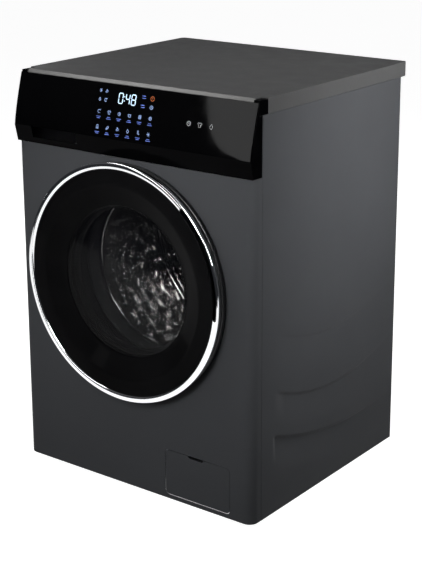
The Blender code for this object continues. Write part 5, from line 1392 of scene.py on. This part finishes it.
def sump_hose():
    """The hose from the tub's lowest part to the pump."""
    low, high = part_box("sump_hose")
    radius = 0.016
    x, y, top = low.x + radius, FRONT + 0.165, high.z
    pump_y, inlet = FRONT + 0.075, FLAP_Z + 0.0483
    knots = [(x, y, top - 0.008), (x + 0.004, y - 0.003, top - 0.020),
             (x + (FLAP_X - x) * 0.4, (y + pump_y) / 2, inlet + 0.042),
             (FLAP_X - 0.014, pump_y + 0.016, inlet + 0.030),
             (FLAP_X - 0.002, pump_y + 0.002, inlet + 0.018), (FLAP_X, pump_y, inlet + 0.003)]
    hose = corrugated("sump_bellows", [(x, y, top)] + smooth_path(knots, 8), radius - 0.0002, BLACK_RUBBER,
                      0.0018, 0.0085, 28)
    crisp(hose)
    flex(hose, "sump_hose")


def drawer_tray():
    low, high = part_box("detergent_drawer")
    wall = 0.0022
    tray = slab("tray", low, high, WHITE, 0.0015, 0.006, "Z")
    main = low.x + (high.x - low.x) * 0.60
    split = low.y + (high.y - low.y) * 0.52
    top = high.z + 0.01
    floor_z = low.z + 0.0030
    cells = ((low.x + wall, low.y + wall, main - wall / 2, high.y - wall, floor_z),
             (main + wall / 2, low.y + wall, high.x - wall, split - wall / 2, floor_z + 0.006),
             (main + wall / 2, split + wall / 2, high.x - wall, high.y - wall, floor_z + 0.003))
    tools = [slab("cell", (a, b, z), (c, d, top), None, 0.0012, 0.005, "Z") for a, b, c, d, z in cells]
    carve(tray, *tools)
    mid_x, mid_y = (cells[1][0] + cells[1][2]) / 2, (cells[1][1] + cells[1][3]) / 2
    siphon = [(0.0, floor_z + 0.004), (0.0085, floor_z + 0.004), (0.0085, high.z - 0.012),
              (0.0070, high.z - 0.008), (0.0, high.z - 0.007)]
    cap = lathe("siphon", siphon, BLUE, (mid_x, mid_y, 0.0), 32, "Z", 0.0008)
    lid = slab("lid", (cells[1][0] + 0.0005, cells[1][1] + 0.0005, high.z - 0.0075),
               (cells[1][2] - 0.0005, cells[1][3] - 0.0005, high.z - 0.0055), BLUE, 0.0006, 0.004, "Z")
    face = main - wall / 2
    marks = [slab("mark", (face - 0.0012, low.y + 0.05, z), (face - 0.0002, low.y + 0.062, z + 0.0008), BLUE,
                  0.0, 0.0) for z in (floor_z + step * 0.011 for step in (1, 2, 3))]
    rails = [slab("rail", (x, low.y + 0.03, high.z - 0.0060), (x + 0.004, high.y - 0.01, high.z - 0.0040),
                  WHITE, 0.0004, 0.001) for x in (high.x - 0.006, low.x + 0.002)]
    drawer = merge("powder_drawer", [tray, cap, lid] + marks + rails)
    fit(drawer, "drawer", "white_plastic", "detergent_drawer")


def filter_plug():
    low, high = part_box("filter_knob")
    x, _, z = (low + high) / 2
    radius = (high.x - low.x) / 2
    front, rim = low.y + 0.0075, 0.005
    outline = []
    for step in range(144):
        angle = 2 * math.pi * step / 144
        knurl = radius - 0.0006 + 0.0006 * math.cos(angle * 24)
        outline.append((x + knurl * math.cos(angle), z + knurl * math.sin(angle)))
    disc = prism("disc", outline, "Y", front, front + rim, WHITE, 0.0006, 2)
    half = radius - 0.006
    grip = slab("grip", (x - half, low.y, z - 0.0040), (x + half, front + 0.001, z + 0.0040), WHITE,
                0.0012, 0.0035, "Y")
    plug = 0.0232
    shank = [(0.0, front + rim - 0.0005), (plug, front + rim - 0.0005)]
    y = front + rim
    while y < front + 0.024:
        groove = plug - 0.0014
        shank += [(plug, y + 0.0006), (groove, y + 0.0016), (groove, y + 0.0026), (plug, y + 0.0034)]
        y += 0.0045
    shank += [(plug - 0.006, y), (plug - 0.006, high.y), (0.0, high.y)]
    body = lathe("shank", shank, WHITE, (x, 0.0, z), 48)
    fit(merge("filter_plug", [disc, grip, body]), "filter", "white_plastic", "filter_knob")


def springs():
    """Close coils with a hook at each end, between the top brace and the tub."""
    for name in ("left", "right"):
        low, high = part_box(f"spring_{name}")
        x, y, _ = (low + high) / 2
        radius = (high.y - low.y) / 2 - 0.0020
        bottom, top = low.z + 0.034, high.z - 0.034
        points = [(x, y, low.z + 0.002), (x, y, bottom - 0.010)]
        turns, per = 16, 16
        for step in range(turns * per + 1):
            angle = 2 * math.pi * step / per
            grow = min(1.0, step / per, (turns * per - step) / per)
            points.append((x + radius * grow * math.cos(angle), y + radius * grow * math.sin(angle),
                           bottom + (top - bottom) * step / (turns * per)))
        points += [(x, y, top + 0.010), (x, y, high.z - 0.002)]
        coil = tube(f"suspension_{name}", points, 0.0019, DARK_STEEL, 10)
        crisp(coil)
        flex(coil, f"spring_{name}")


def main():
    build_stage()
    front_panel()
    side_sheet(-1, "side_panel_left")
    side_sheet(1, "side_panel_right")
    worktop()
    rear_sheet()
    flap_cover()
    console()
    console_marks()
    chrome_ring()
    cover()
    bowl()
    door_moulding()
    gasket()
    drum()
    lifters()
    feet()
    rear_fittings()
    drawer_tray()
    filter_plug()
    springs()
    drain_hose()
    dispenser_bellows()
    sump_hose()
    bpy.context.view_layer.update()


main()
